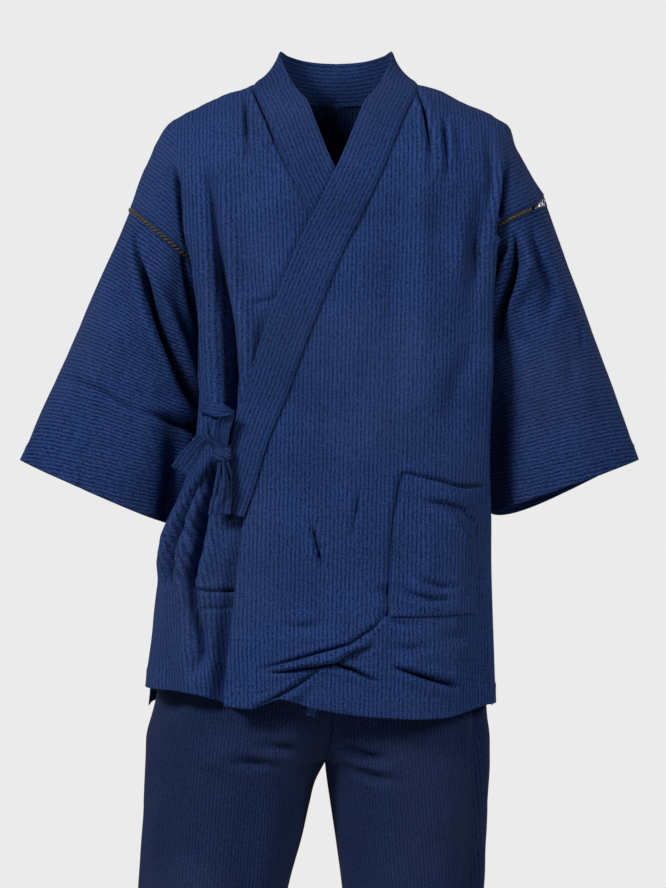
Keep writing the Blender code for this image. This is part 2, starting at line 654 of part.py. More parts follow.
def lifted(point_at, a, b, lift, step=0.002):
    """Points of a surface at (a, b), lifted off it along its normal."""
    here = point_at(a, b)
    normal = unit(np.cross(point_at(a, b + step) - here, point_at(a + step, b) - here))
    return here + normal * np.asarray(lift)[..., None]


def collar_rows(side, count):
    """Rows of five points across the collar band, from the back centre down that side's front."""
    across = np.linspace(0, 1, 5)[:, None]
    lift = CLOTH + LAID
    edges = []
    for turn, *free, bow in zip(*NECK_BACK_EDGE.values()):
        x, share = NECK * math.cos(math.radians(turn)), 1 - (NECK_BACK + 0.02) * math.sin(math.radians(turn))
        seam = lifted(lambda a, b: shoulder_point(side, np.array([a]), 1 - b, "back")[0], x, 1 - share, -lift)
        edges.append((seam, np.array(free), bow))
    for drop, *free, bow in zip(*NECK_FRONT_EDGE.values()):
        x = float(smooth(SEAM_LINE["drop"], SEAM_LINE["x"], drop))
        edges.append((lifted(lambda a, b: front_surface(side, a, b), x, drop, lift), np.array(free), bow))
    rows = []
    for seam, free, bow in edges:
        inwards = unit(np.array([-seam[0], -seam[1], -math.hypot(seam[0], seam[1])]))
        rows.append(seam + (free - seam) * across + inwards * bow * 4 * across * (1 - across))
    for drop in BAND_DROPS[:count]:
        x = float(smooth(SEAM_LINE["drop"], SEAM_LINE["x"], drop))
        slope = float(smooth(SEAM_LINE["drop"], SEAM_LINE["x"], drop + 0.004)) - x
        wide = float(smooth(BAND_WIDTH["drop"], BAND_WIDTH["width"], drop))
        inward = unit(np.array([-0.004, slope])) * wide
        x_across, drop_across = x + inward[0] * across[:, 0], drop + inward[1] * across[:, 0]
        lap = lap_lift(x_across, drop_across) if side == "left" else 0
        rows.append(lifted(lambda a, b: front_surface(side, a, b), x_across, drop_across, CLOTH + LAID + lap))
    return np.array(rows)


def resampled(rows, count):
    """The rows again, with count rows spaced evenly along the middle of the strip on smooth curves."""
    middle = rows[:, rows.shape[1] // 2]
    along = np.concatenate([[0], np.cumsum(np.linalg.norm(np.diff(middle, axis=0), axis=1))])
    at = np.linspace(0, along[-1], count)
    columns = [[smooth(along, rows[:, j, k], at) for k in range(3)] for j in range(rows.shape[1])]
    return np.array(columns).transpose(2, 0, 1)


def make_collar():
    """One band, sewn round the neck edge from the left front's waist to the right front, under the left."""
    left = resampled(collar_rows("left", len(BAND_DROPS)), 25)
    right = resampled(collar_rows("right", HIDDEN_BAND_ROWS), 21) * np.array([-1, 1, 1])
    shell("collar_band", np.concatenate([right[::-1], left[1:]]), BAND)


def sleeve_turns():
    half = np.arange(SHOULDER_SPANS + 1) / SHOULDER_SPANS * math.pi
    return np.concatenate([half, half[1:] + math.pi])


def make_sleeve(side):
    """A wide straight sleeve, a flattened tube whose deep front fold runs from the lacing to the underarm."""
    length, turns = ARMS[side]["length"], sleeve_turns()
    distances = length * (np.arange(SLEEVE_ROWS + 1) / SLEEVE_ROWS) ** 1.35
    grid = np.array([[sleeve_point(side, d, t) for t in turns] for d in distances])
    ring = turns / (2 * math.pi)
    rows = {k: v * (SLEEVE_GIRTH if k.startswith("share") else 1) for k, v in SLEEVE_FOLDS[side].items()}
    depth = folds(rows, (ring * SLEEVE_GIRTH)[None, :], distances[:, None])
    depth *= ease((distances - 0.012) / 0.04)[:, None]
    closed = np.concatenate([grid[:, -2:-1], grid, grid[:, 1:2]], axis=1)
    depth = np.concatenate([depth[:, -2:-1], depth, depth[:, 1:2]], axis=1)
    grid = moved_out(closed, -depth, ARMS[side]["sign"])[:, 1:-1]
    shell(f"sleeve_{side}", grid, CLOTH, closed_from=0, flip=side == "right", inwards=True)


def make_lacing(side, face):
    """Half of the openwork between shoulder and sleeve: two rails joined by a zigzag of threads."""
    down, cells = leaning(side, ARMS[side]["lean"]), ARMS[side]["cells"]
    start, end = (0, math.pi) if face == "front" else (math.pi, 2 * math.pi)
    at = np.linspace(start, end, cells + 1)
    upper = np.array([cap_edge(side, t) for t in at]) + down * 2 * SEAM
    ends = np.array([sleeve_point(side, 0, t) for t in at[[0, -1]]]) - down * 2 * SEAM
    lower = np.array([sleeve_point(side, 0, t) for t in (at[1:] + at[:-1]) / 2]) - down * 2 * SEAM
    for line in (upper, lower, ends):
        line[:, 1] += SEAM * (-1 if face == "front" else 1)
    points, outer_inner = [], {}

    def node(key, place, way):
        outer_inner[key] = (len(points), len(points) + 1)
        points.extend([place, place + way * down * LACING_BAR])

    for rail, line, way in (("upper", upper, 1), ("lower", np.array([ends[0], *lower, ends[1]]), -1)):
        for k, place in enumerate(line):
            for name, other in (("before", k - 1), ("at", k), ("after", k + 1)):
                if 0 <= other < len(line):
                    node((rail, k, name), place + unit(line[other] - place) * LACING_BAR, way)

    faces = []
    for rail, count in (("upper", len(upper)), ("lower", len(lower) + 2)):
        chain = [(rail, k, name) for k in range(count) for name in ("before", "at", "after")]
        chain = [outer_inner[key] for key in chain if key in outer_inner]
        for one, two in zip(chain, chain[1:]):
            strip = [one[0], two[0], two[1], one[1]]
            faces.append(strip if rail == "upper" else strip[::-1])
    for k in range(cells):
        a, b = [outer_inner["upper", k, n][1] for n in ("at", "after")]
        c, d = [outer_inner["upper", k + 1, n][1] for n in ("before", "at")]
        e, f, g = [outer_inner["lower", k + 1, n][1] for n in ("before", "at", "after")]
        faces += [[a, b, f, e], [c, d, g, f]]
    faces = [face if side == "left" else face[::-1] for face in faces]
    thicken(mesh_object(f"sleeve_lacing_{side}_{face}", points, faces, THREAD), CLOTH, inwards=True)


def trouser_row(side, drop):
    """One level of a trouser half: from the front middle round the outside to the back, or all round."""
    read = {c: float(smooth(TROUSERS["drop"], TROUSERS[c], drop)) for c in TROUSERS if c != "drop"}
    sign = ARMS[side]["sign"]
    parted = min(max(read["parted"], 0), 1) if drop < TROUSER_DROPS[CROTCH_ROW] else 1.0
    inner, outer = read["inner_" + side] + sign * SEAM / 2, read["outer_" + side]
    half = (outer - inner) / (1 + parted)
    start = math.acos(-parted)
    angle = np.linspace(-start, start, TROUSER_SPANS + 1)
    x = inner + half * parted + half * np.cos(angle)
    deep = np.where(angle < 0, read["front"], read["back"])
    return np.stack([x, deep * np.sin(angle), np.full_like(x, -drop)], axis=-1)


def make_trouser_leg(side):
    """Half of the trousers, from the waist to the knee, closed along the inner leg below the crotch."""
    grid = np.array([trouser_row(side, d) for d in TROUSER_DROPS])
    around = np.linspace(0, 1, TROUSER_SPANS + 1)
    rows = {k: v * (TROUSER_GIRTH if k.startswith("share") else 1) for k, v in TROUSER_FOLDS[side].items()}
    depth = folds(rows, (around * TROUSER_GIRTH)[None, :], np.array(TROUSER_DROPS)[:, None])
    depth *= np.sin(around * math.pi)[None, :] ** 0.5
    sign = ARMS[side]["sign"]
    moved = moved_out(grid, -depth, -sign)
    moved[:, [0, -1]] = grid[:, [0, -1]]
    shell(f"trouser_{side}", moved, CLOTH, closed_from=CROTCH_ROW, flip=side == "left", inwards=True)


def make_waistband():
    """A band with elastic and the drawstring's channel, its gathers shallow all the way round."""
    top = TROUSER_DROPS[0] - SEAM
    angle = np.linspace(0, 2 * math.pi, 2 * WAIST_GATHERS + 1)
    outer = {s: float(TROUSERS["outer_" + s][0]) for s in ARMS}
    across, through = np.cos(angle), np.sin(angle)
    x = np.where(across >= 0, outer["left"], -outer["right"]) * across
    x += TROUSERS["inner_left"][0] * (1 - np.abs(across))
    y = np.where(through < 0, TROUSERS["front"][0], TROUSERS["back"][0]) * through
    wave = 1 + GATHER / y.max() * np.cos(angle * WAIST_GATHERS)
    rows = [np.stack([x * wave, y * wave, np.full_like(x, -d)], axis=-1) for d in (top, WAISTBAND_TOP)]
    shell("waistband", np.array(rows), BAND, closed_from=0)


def tape(name, rows, thickness):
    """A flat tape along a curve, facing forwards and turned about its length by "turn" degrees."""
    knots = np.arange(len(rows["x"]), dtype=float)
    at = np.linspace(0, knots[-1], 2 * len(knots) - 1)
    middle = np.stack([smooth(knots, rows[c], at) for c in ("x", "y", "drop")], axis=-1) * [1, 1, -1]
    along = unit(np.gradient(middle, axis=0))
    turn = np.radians(smooth(knots, rows["turn"], at))[:, None]
    facing = np.cos(turn) * np.array([0, -1.0, 0]) + np.sin(turn) * np.array([0, 0, 1.0])
    half = smooth(knots, rows["width"], at)[:, None] / 2
    over = unit(np.cross(facing, along)) * half
    return shell(name, np.stack([middle - over, middle, middle + over], axis=1), thickness)


def at_knot(x, y, drop):
    """Where the line from (x, y, drop) to the knot's middle meets the knot, just clear of it."""
    middle = np.array([KNOT["x"], KNOT["y"], -KNOT["drop"]])
    towards = np.array([x, y, -drop]) - middle
    half = np.array([KNOT["width"], KNOT["depth"], KNOT["height"]]) / 2
    place = middle + towards / np.linalg.norm(towards / half) + unit(towards) * SEAM
    return place[0], place[1], -place[2]


def make_tie(panel):
    """The knotted side tie: a loop, two hanging ends, and the stretches sewn to left front and side seam."""
    row = len(BODY_DROPS) - 1 - BODY_DROPS.index(0.405)
    on_panel = moved_out(panel, np.full(panel.shape[:2], CLOTH + SIDE_TIE["off"]), -1)
    low, high = on_panel[row - 1 : row + 1, FRONT_SPANS - 1 :]
    shares = [(-SIDE_TIE[edge] - low[:, 2]) / (high[:, 2] - low[:, 2]) for edge in ("bottom", "top")]
    shell("tie_side", np.array([low + (high - low) * share[:, None] for share in shares]), TAPE, flip=True)
    for name, rows in TIE_TAPES.items():
        rows = {column: values.copy() for column, values in rows.items()}
        for end in TAPES_AT_KNOT[name]:
            place = at_knot(rows["x"][end], rows["y"][end], rows["drop"][end])
            rows["x"][end], rows["y"][end], rows["drop"][end] = place
        tape(name, rows, TAPE)
    knot = bmesh.new()
    bmesh.ops.create_uvsphere(knot, u_segments=12, v_segments=8, radius=0.5)
    thing = mesh_object("tie_knot", [(0, 0, 0)], [])
    knot.to_mesh(thing.data)
    knot.free()
    size = (KNOT["width"], KNOT["depth"], KNOT["height"])
    for vertex in thing.data.vertices:
        vertex.co = [vertex.co[i] * size[i] for i in range(3)]
    thing.location = (KNOT["x"], KNOT["y"], -KNOT["drop"])


def make_drawstring():
    for name, rows in DRAWSTRINGS.items():
        flat = dict(rows, width=np.full(len(rows["x"]), DRAWSTRING_WIDTH), turn=np.zeros(len(rows["x"])))
        tape(name, flat, DRAWSTRING_WALL)


def main():
    panels = make_body_panels()
    make_pocket(panels["left"])
    make_tie(panels["right"])
    make_collar()
    for side in ARMS:
        make_sleeve(side)
        for face in ("front", "back"):
            make_lacing(side, face)
        make_trouser_leg(side)
    make_waistband()
    make_drawstring()


main()
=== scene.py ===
import math

import bpy
import numpy as np
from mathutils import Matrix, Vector, noise


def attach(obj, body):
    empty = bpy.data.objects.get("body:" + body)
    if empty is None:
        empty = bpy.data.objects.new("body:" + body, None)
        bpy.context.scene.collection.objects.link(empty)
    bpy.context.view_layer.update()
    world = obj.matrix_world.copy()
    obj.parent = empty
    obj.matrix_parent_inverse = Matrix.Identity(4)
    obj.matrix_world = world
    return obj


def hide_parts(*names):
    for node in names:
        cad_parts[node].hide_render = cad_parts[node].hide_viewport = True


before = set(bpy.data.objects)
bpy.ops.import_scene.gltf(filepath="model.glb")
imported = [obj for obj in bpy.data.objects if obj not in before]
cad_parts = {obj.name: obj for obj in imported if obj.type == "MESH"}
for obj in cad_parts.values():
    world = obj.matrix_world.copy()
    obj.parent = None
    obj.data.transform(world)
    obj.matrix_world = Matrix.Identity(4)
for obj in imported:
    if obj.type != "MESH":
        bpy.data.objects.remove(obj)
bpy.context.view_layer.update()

# A jinbei set as worn: wrap jacket with laced-on sleeves and a side tie, over knee-length trousers.
# Metres, Z up. The wearer faces -Y and X grows towards the wearer's left. "drop" is the distance
# below the shoulder line, and on each half of the jacket x is measured towards that half's own side.

signs = {"left": 1, "right": -1}


def table(columns, *rows):  # named columns, each as an array
    return dict(zip(columns.split(), np.array(rows, float).T))


def smooth(knots, values, x):  # a smooth curve through (knots, values), read at x
    x = np.asarray(x, float)
    slopes = np.gradient(values, knots)
    i = np.clip(np.searchsorted(knots, x) - 1, 0, len(knots) - 2)
    step = knots[i + 1] - knots[i]
    t = np.clip((x - knots[i]) / step, 0, 1)
    start = (1 + 2 * t) * (1 - t) ** 2 * values[i] + t * (1 - t) ** 2 * step * slopes[i]
    return start + t * t * (3 - 2 * t) * values[i + 1] - t * t * (1 - t) * step * slopes[i + 1]


def ease(x):  # 0 below 0, 1 above 1, smooth between
    x = np.clip(x, 0, 1)
    return x * x * (3 - 2 * x)


def unit(v):
    return v / np.maximum(np.linalg.norm(v, axis=-1, keepdims=True), 1e-12)


def refined(grid, parts):  # each span of the first axis cut in parts along a smooth curve
    step = np.maximum(np.linalg.norm(np.diff(grid, axis=0), axis=-1, keepdims=True), 1e-7)
    chord = np.diff(grid, axis=0) / step
    slope = np.concatenate([chord[:1], chord])
    slope[1:-1] = (chord[:-1] * step[1:] + chord[1:] * step[:-1]) / (step[1:] + step[:-1])
    pieces = []
    for i, count in enumerate(parts):
        t = (np.arange(count) / count).reshape(-1, *[1] * (grid.ndim - 1))
        start = (1 + 2 * t) * (1 - t) ** 2 * grid[i] + t * (1 - t) ** 2 * step[i] * slope[i]
        pieces.append(start + t * t * (3 - 2 * t) * grid[i + 1] - t * t * (1 - t) * step[i] * slope[i + 1])
    return np.concatenate(pieces + [grid[-1:]])


def refinedAcross(grid, parts):
    return refined(grid.swapaxes(0, 1), parts).swapaxes(0, 1)


def partsFor(grid, step):  # how many parts of about one step each span of the first axis takes
    length = np.median(np.linalg.norm(np.diff(grid, axis=0), axis=-1), axis=-1)
    return [max(1, int(round(x / step))) for x in length]


def movedOut(grid, distance, sign):  # every point moved along the surface's normal
    along, over = np.gradient(grid, axis=1), np.gradient(grid, axis=0)
    return grid + unit(np.cross(along, over)) * sign * np.asarray(distance)[..., None]


def arcAcross(grid):  # distance along each row from its first point
    step = np.linalg.norm(np.diff(grid, axis=1), axis=-1)
    return np.concatenate([np.zeros((len(grid), 1)), np.cumsum(step, axis=1)], axis=1)


def creaseShape(creases, across, down):
    # Folds given one by one. Each is a list of (across, down, half width, depth, lean): a negative depth is
    # a ridge, and lean is how far the bottom slips sideways under one lip. Returns the summed depth
    # and the sideways and downward shifts, which close the lips of the deep folds.
    shape = np.broadcast(across, down).shape
    total, shiftAcross, shiftDown = np.zeros(shape), np.zeros(shape), np.zeros(shape)
    for crease in creases:
        best = np.full(shape, 1e9)
        half, depth, lean = np.full(shape, 0.01), np.zeros(shape), np.zeros(shape)
        toAcross, toDown = np.zeros(shape), np.zeros(shape)
        points = [(*point, 0.0)[:5] for point in crease]
        for (x, y, h, d, s), (x2, y2, h2, d2, s2) in zip(points, points[1:]):
            long = (x2 - x) ** 2 + (y2 - y) ** 2
            t = np.clip(((across - x) * (x2 - x) + (down - y) * (y2 - y)) / long, 0, 1)
            awayAcross, awayDown = x + t * (x2 - x) - across, y + t * (y2 - y) - down
            away = np.hypot(awayAcross, awayDown)
            closer = away < best
            best = np.where(closer, away, best)
            half = np.where(closer, h + t * (h2 - h), half)
            depth = np.where(closer, d + t * (d2 - d), depth)
            lean = np.where(closer, s + t * (s2 - s), lean)
            toAcross = np.where(closer, awayAcross, toAcross)
            toDown = np.where(closer, awayDown, toDown)
        hollow = np.exp(-((best / half) ** 2.6))
        total += depth * (hollow - 0.28 * np.exp(-(((best - 2.1 * half) / (1.1 * half)) ** 2)))
        draw = 0.42 * ease(depth / half / 1.6) * np.exp(-((best / (1.8 * half)) ** 2))
        shiftAcross += toAcross * draw + lean * hollow
        shiftDown += toDown * draw
    return total, shiftAcross, shiftDown


def unevenness(u, v, layers, seed):
    # Soft random heights: layers are (size across, size along, height), all in metres.
    total = np.zeros(u.size)
    for sizeU, sizeV, height in layers:
        seed += 7.3
        points = np.stack([u.ravel() / sizeU, v.ravel() / sizeV, np.full(u.size, seed)], axis=-1)
        total += np.array([noise.noise(Vector(p)) for p in points]) * height
    return total.reshape(u.shape)


# ---- camera ----

view = {"x": -0.00375, "distance": 3.0, "height": -0.43, "pixelsPerMetre": 800, "tall": 888, "sensor": 36.0}


def addCamera():
    bpy.ops.object.select_all(action="DESELECT")
    bpy.ops.object.camera_add(location=(view["x"], -view["distance"], view["height"]),
                              rotation=(math.pi / 2, 0, 0))
    camera = bpy.context.object
    camera.name = "camera"
    camera.data.sensor_fit = "VERTICAL"
    camera.data.sensor_height = view["sensor"]
    camera.data.lens = view["pixelsPerMetre"] * view["distance"] / view["tall"] * view["sensor"]
    bpy.context.scene.camera = camera


# ---- materials ----

cotton = {
    # rib colours of jacket and trousers: the groove colour is painted shade in the rib grooves, the ridge colour
    # painted light on the rib tops
    "paintedGrooveShade": "#081844", "ridge": "#314c83", "ribPitch": 5.0, "ribHeight": 0.60,  # mm
    "trouserPaintedGrooveShade": "#0d1a3c", "trouserRidge": "#29385f", "trouserPitch": 4.5,
    "fading": 60, "wornSize": 190, "wornColour": "#474e69", "worn": 0.13,
    "roughness": 0.88, "sheen": 0.015, "sheenRoughness": 0.45,
    # size across the ribs, size along them, detail; the threads are drawn as coarse as they can show
    "noises": {"drift": (24, 16, 1.0), "jitter": (3, 5, 1.0), "breaks": (6, 8, 2.0), "threads": (1.3, 1.5, 1.5),
               "slubs": (2.6, 4.2, 1.0)},
}


def linear(hexColour):  # sRGB hex to linear RGBA
    parts = [int(hexColour[i : i + 2], 16) / 255 for i in (1, 3, 5)]
    return tuple(c / 12.92 if c <= 0.04045 else ((c + 0.055) / 1.055) ** 2.4 for c in parts) + (1.0,)


def addNode(tree, kind, links=(), **settings):
    # One node. Settings are its properties, or inputs by number as in _0=..., and links are pairs of
    # an input and the node, or output socket, that feeds it.
    node = tree.nodes.new(kind)
    for key, value in settings.items():
        if key[0] == "_":
            node.inputs[int(key[1:])].default_value = value
        else:
            setattr(node, key, value)
    for place, source in links:
        tree.links.new(source.outputs[0] if hasattr(source, "outputs") else source, node.inputs[place])
    return node


def newMaterial(name, roughness, sheen=0.0, sheenRoughness=0.5):
    material = bpy.data.materials.new(name)
    material.use_nodes = True
    shader = material.node_tree.nodes["Principled BSDF"]
    shader.inputs["Roughness"].default_value = roughness
    shader.inputs["Sheen Weight"].default_value = sheen
    shader.inputs["Sheen Roughness"].default_value = sheenRoughness
    shader.inputs["Specular IOR Level"].default_value = 0.08
    return material, material.node_tree, shader


def makeRibbedCotton(name, pitch, paintedGrooveShade, ridge, shade=1.0, relief=0.95):
    # Shijira crinkle cotton, yarn-dyed navy: slack and tight warp threads pull the cloth into fine
    # lengthwise ribs. Matt, with broad puckered ridges between narrow grooves that the weft breaks up; the grooves'
    # colour is painted shade and the ridges' colour is painted light, on top of the bump's real shading.
    material, tree, shader = newMaterial(name, cotton["roughness"], cotton["sheen"], cotton["sheenRoughness"])
    grain = addNode(tree, "ShaderNodeUVMap", uv_map="UVMap")
    noises = {}
    for use, (across, along, detail) in cotton["noises"].items():  # sizes in mm across and along the ribs
        stretch = addNode(tree, "ShaderNodeVectorMath", [(0, grain)], operation="MULTIPLY",
                          _1=(1000 / across, 1000 / along, 1))
        noises[use] = addNode(tree, "ShaderNodeTexNoise", [(0, stretch)], _2=1.0, _3=detail)
    across = addNode(tree, "ShaderNodeSeparateXYZ", [(0, grain)])
    wander = addNode(tree, "ShaderNodeMath", [(0, noises["drift"])], operation="MULTIPLY_ADD", _1=0.5, _2=-0.25)
    wander = addNode(tree, "ShaderNodeMath", [(0, noises["jitter"]), (2, wander)], operation="MULTIPLY_ADD", _1=0.35)
    phase = addNode(tree, "ShaderNodeMath", [(0, across), (2, wander)], operation="MULTIPLY_ADD", _1=1000 / pitch)
    phase = addNode(tree, "ShaderNodeMath", [(0, phase)], operation="MULTIPLY", _1=2 * math.pi)
    wave = addNode(tree, "ShaderNodeMath", [(0, phase)], operation="SINE")
    dip = addNode(tree, "ShaderNodeMath", [(0, wave)], operation="MULTIPLY_ADD", _1=-0.62, _2=0.28)
    dip.use_clamp = True  # the grooves are narrower than the ridges
    broken = addNode(tree, "ShaderNodeMath", [(0, noises["breaks"])], operation="MULTIPLY_ADD", _1=1.1, _2=-0.03)
    dip = addNode(tree, "ShaderNodeMath", [(0, dip), (1, broken)], operation="MULTIPLY")
    height = addNode(tree, "ShaderNodeMath", [(0, dip)], operation="MULTIPLY_ADD", _1=-relief, _2=-1.04)
    height = addNode(tree, "ShaderNodeMath", [(0, noises["threads"]), (2, height)], operation="MULTIPLY_ADD", _1=2.6)
    height = addNode(tree, "ShaderNodeMath", [(0, noises["slubs"]), (2, height)], operation="MULTIPLY_ADD", _1=0.8)
    height.use_clamp = True
    place = addNode(tree, "ShaderNodeTexCoord").outputs["Object"]
    fading = addNode(tree, "ShaderNodeTexNoise", [(0, place)], _2=1000 / cotton["fading"], _3=3.0)
    # shade scales the whole colour; the drawstring's copy sets it above 1 as painted light
    fading = addNode(tree, "ShaderNodeMapRange", [(0, fading)], _1=0.3, _2=0.7, _3=0.88 * shade, _4=1.10 * shade)
    # the rib height mixes the two colours: painted shade in the grooves, painted light on the ridges
    colour = addNode(tree, "ShaderNodeMix", [(0, height)], data_type="RGBA", _6=linear(paintedGrooveShade), _7=linear(ridge))
    worn = addNode(tree, "ShaderNodeTexNoise", [(0, place)], _2=1000 / cotton["wornSize"], _3=1.0)
    worn = addNode(tree, "ShaderNodeMapRange", [(0, worn)], _1=0.46, _2=0.68, _3=0.0, _4=cotton["worn"])
    colour = addNode(tree, "ShaderNodeMix", [(0, worn), (6, colour.outputs[2])], data_type="RGBA",
                     _7=linear(cotton["wornColour"]))  # washed greyer in broad patches
    colour = addNode(tree, "ShaderNodeVectorMath", [(0, colour.outputs[2]), (1, fading)], operation="MULTIPLY")
    tree.links.new(colour.outputs[0], shader.inputs["Base Color"])
    bump = addNode(tree, "ShaderNodeBump", [("Height", height)], _0=0.7, _1=cotton["ribHeight"] / 1000)
    tree.links.new(bump.outputs[0], shader.inputs["Normal"])
    return material


def makeThread(name, dark, light, size):
    # Twisted polyester sewing thread: a slight sheen, its colour flecked along the twist.
    material, tree, shader = newMaterial(name, 0.6, 0.1)
    place = addNode(tree, "ShaderNodeTexCoord").outputs["Object"]
    fleck = addNode(tree, "ShaderNodeTexNoise", [(0, place)], _2=1000 / size, _3=2.0)
    share = addNode(tree, "ShaderNodeMapRange", [(0, fleck)], _1=0.35, _2=0.65)
    colour = addNode(tree, "ShaderNodeMix", [(0, share)], data_type="RGBA", _6=linear(dark), _7=linear(light))
    tree.links.new(colour.outputs[2], shader.inputs["Base Color"])
    bump = addNode(tree, "ShaderNodeBump", [("Height", fleck)], _0=0.5, _1=0.0003)
    tree.links.new(bump.outputs[0], shader.inputs["Normal"])
    return material


# ---- cloth pieces ----

wall = {"cloth": 0.0010}


def clothPiece(name, grid, uv, material, thickness, flip=False, inwards=False, weld=False, keep=None,
               uvBeyond=None, beyond=None):
    # A cloth wall on a grid of points. uv is the cloth's own grain in metres; the faces in the mask
    # "beyond" take theirs from uvBeyond. Faces outside the mask "keep" are cut away.
    rows, columns = grid.shape[:2]
    bpy.ops.object.select_all(action="DESELECT")
    bpy.ops.mesh.primitive_grid_add(x_subdivisions=columns - 1, y_subdivisions=rows - 1, size=1)
    piece = bpy.context.object
    piece.name = piece.data.name = name
    mesh = piece.data
    mesh.vertices.foreach_set("co", grid.reshape(-1))
    at = np.empty(len(mesh.loops), int)
    mesh.loops.foreach_get("vertex_index", at)
    flat = uv.reshape(-1, 2)[at]
    if beyond is not None:
        flat = np.where(np.repeat(beyond.ravel(), 4)[:, None], uvBeyond.reshape(-1, 2)[at], flat)
    mesh.uv_layers[0].name = "UVMap"
    mesh.uv_layers[0].data.foreach_set("uv", flat.reshape(-1))
    bpy.context.tool_settings.mesh_select_mode = (False, False, True)
    if keep is not None:
        bpy.ops.object.mode_set(mode="EDIT")
        bpy.ops.mesh.select_all(action="DESELECT")
        bpy.ops.object.mode_set(mode="OBJECT")
        mesh.polygons.foreach_set("select", ~keep.ravel())
        bpy.ops.object.mode_set(mode="EDIT")
        bpy.ops.mesh.delete(type="FACE")
        bpy.ops.object.mode_set(mode="OBJECT")
    bpy.ops.object.mode_set(mode="EDIT")
    bpy.ops.mesh.select_all(action="SELECT")
    if weld:
        bpy.ops.mesh.remove_doubles(threshold=0.00002)
    if flip:
        bpy.ops.mesh.flip_normals()
    bpy.ops.object.mode_set(mode="OBJECT")
    mesh.update()
    if thickness:
        solid = piece.modifiers.new("wall", "SOLIDIFY")
        solid.thickness = thickness
        solid.offset = -1 if inwards else 1
        bpy.ops.object.modifier_apply(modifier="wall")
    bpy.ops.object.shade_smooth()
    piece.data.materials.clear()
    piece.data.materials.append(material)
    return piece


def settle(piece, nodes):  # the piece stands for these nodes
    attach(piece, "root")
    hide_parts(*nodes)
    return piece


def threadRun(name, lines, radius, material, sides=1, scales=None):
    # Threads along polylines, as a bevelled curve turned to a mesh; scales thin them point by point.
    bpy.ops.object.select_all(action="DESELECT")
    data = bpy.data.curves.new(name, "CURVE")
    data.dimensions = "3D"
    data.bevel_depth = radius
    data.bevel_resolution = sides
    data.use_fill_caps = True
    for k, line in enumerate(lines):
        spline = data.splines.new("POLY")
        spline.points.add(len(line) - 1)
        spline.points.foreach_set("co", np.concatenate([line, np.ones((len(line), 1))], axis=1).reshape(-1))
        if scales:
            spline.points.foreach_set("radius", scales[k])
    piece = bpy.data.objects.new(name, data)
    bpy.context.collection.objects.link(piece)
    bpy.context.view_layer.objects.active = piece
    piece.select_set(True)
    bpy.ops.object.convert(target="MESH")
    piece = bpy.context.object
    bpy.ops.object.shade_smooth()
    piece.data.materials.clear()
    piece.data.materials.append(material)
    return piece


stitch = {"length": 0.0026, "gap": 0.0011, "radius": 0.00028, "inFromFold": 0.0015}


def stitchesAlong(line, normals):
    # Short runs of thread that dip into the cloth at both ends.
    step = np.linalg.norm(np.diff(line, axis=0), axis=1)
    along = np.concatenate([[0], np.cumsum(step)])
    pitch = stitch["length"] + stitch["gap"]
    runs = []
    for k in range(int(along[-1] / pitch)):
        at = k * pitch + stitch["gap"] / 2 + np.array([0, 0.3, 0.7, 1]) * stitch["length"]
        place = np.stack([np.interp(at, along, line[:, i]) for i in range(3)], axis=-1)
        way = np.stack([np.interp(at, along, normals[:, i]) for i in range(3)], axis=-1)
        rise = np.array([-1.5, 0.6, 0.6, -1.5])[:, None] * stitch["radius"]
        runs.append(place + unit(way) * rise)
    return runs


# ---- patch pocket: its settings come first, because the front dips around it ----

pocket = {
    "top": 0.466, "bottom": 0.636, "off": 0.0022, "mouthHem": 0.024, "flat": (0.116, 0.170),
    "grooves": (0.0058, 0.0052),  # beside the pocket, behind its mouth
    "sag": table("share  down", (0.0, 0.000), (0.4, 0.010), (0.75, 0.018), (1.0, 0.017)),
    "creases": [
        [(0.108, 0.4990, .004, 0), (0.1222, 0.5020, .005, .005), (0.1437, 0.5100, .006, .010),
         (0.1600, 0.5260, .006, .011), (0.1700, 0.5430, .006, .008), (0.176, 0.560, .007, 0)],
        [(0.0640, 0.5950, .004, 0), (0.0874, 0.6100, .004, .006), (0.1090, 0.6160, .004, .007),
         (0.1414, 0.6165, .005, 0)],
        [(0.0922, 0.5800, .003, 0), (0.1050, 0.5950, .004, .005), (0.1222, 0.6018, .004, .005),
         (0.1500, 0.6035, .005, 0)],
        [(0.084, 0.540, .012, 0), (0.086, 0.580, .012, .003), (0.080, 0.610, .010, 0)],
    ],
}


# ---- jacket body ----

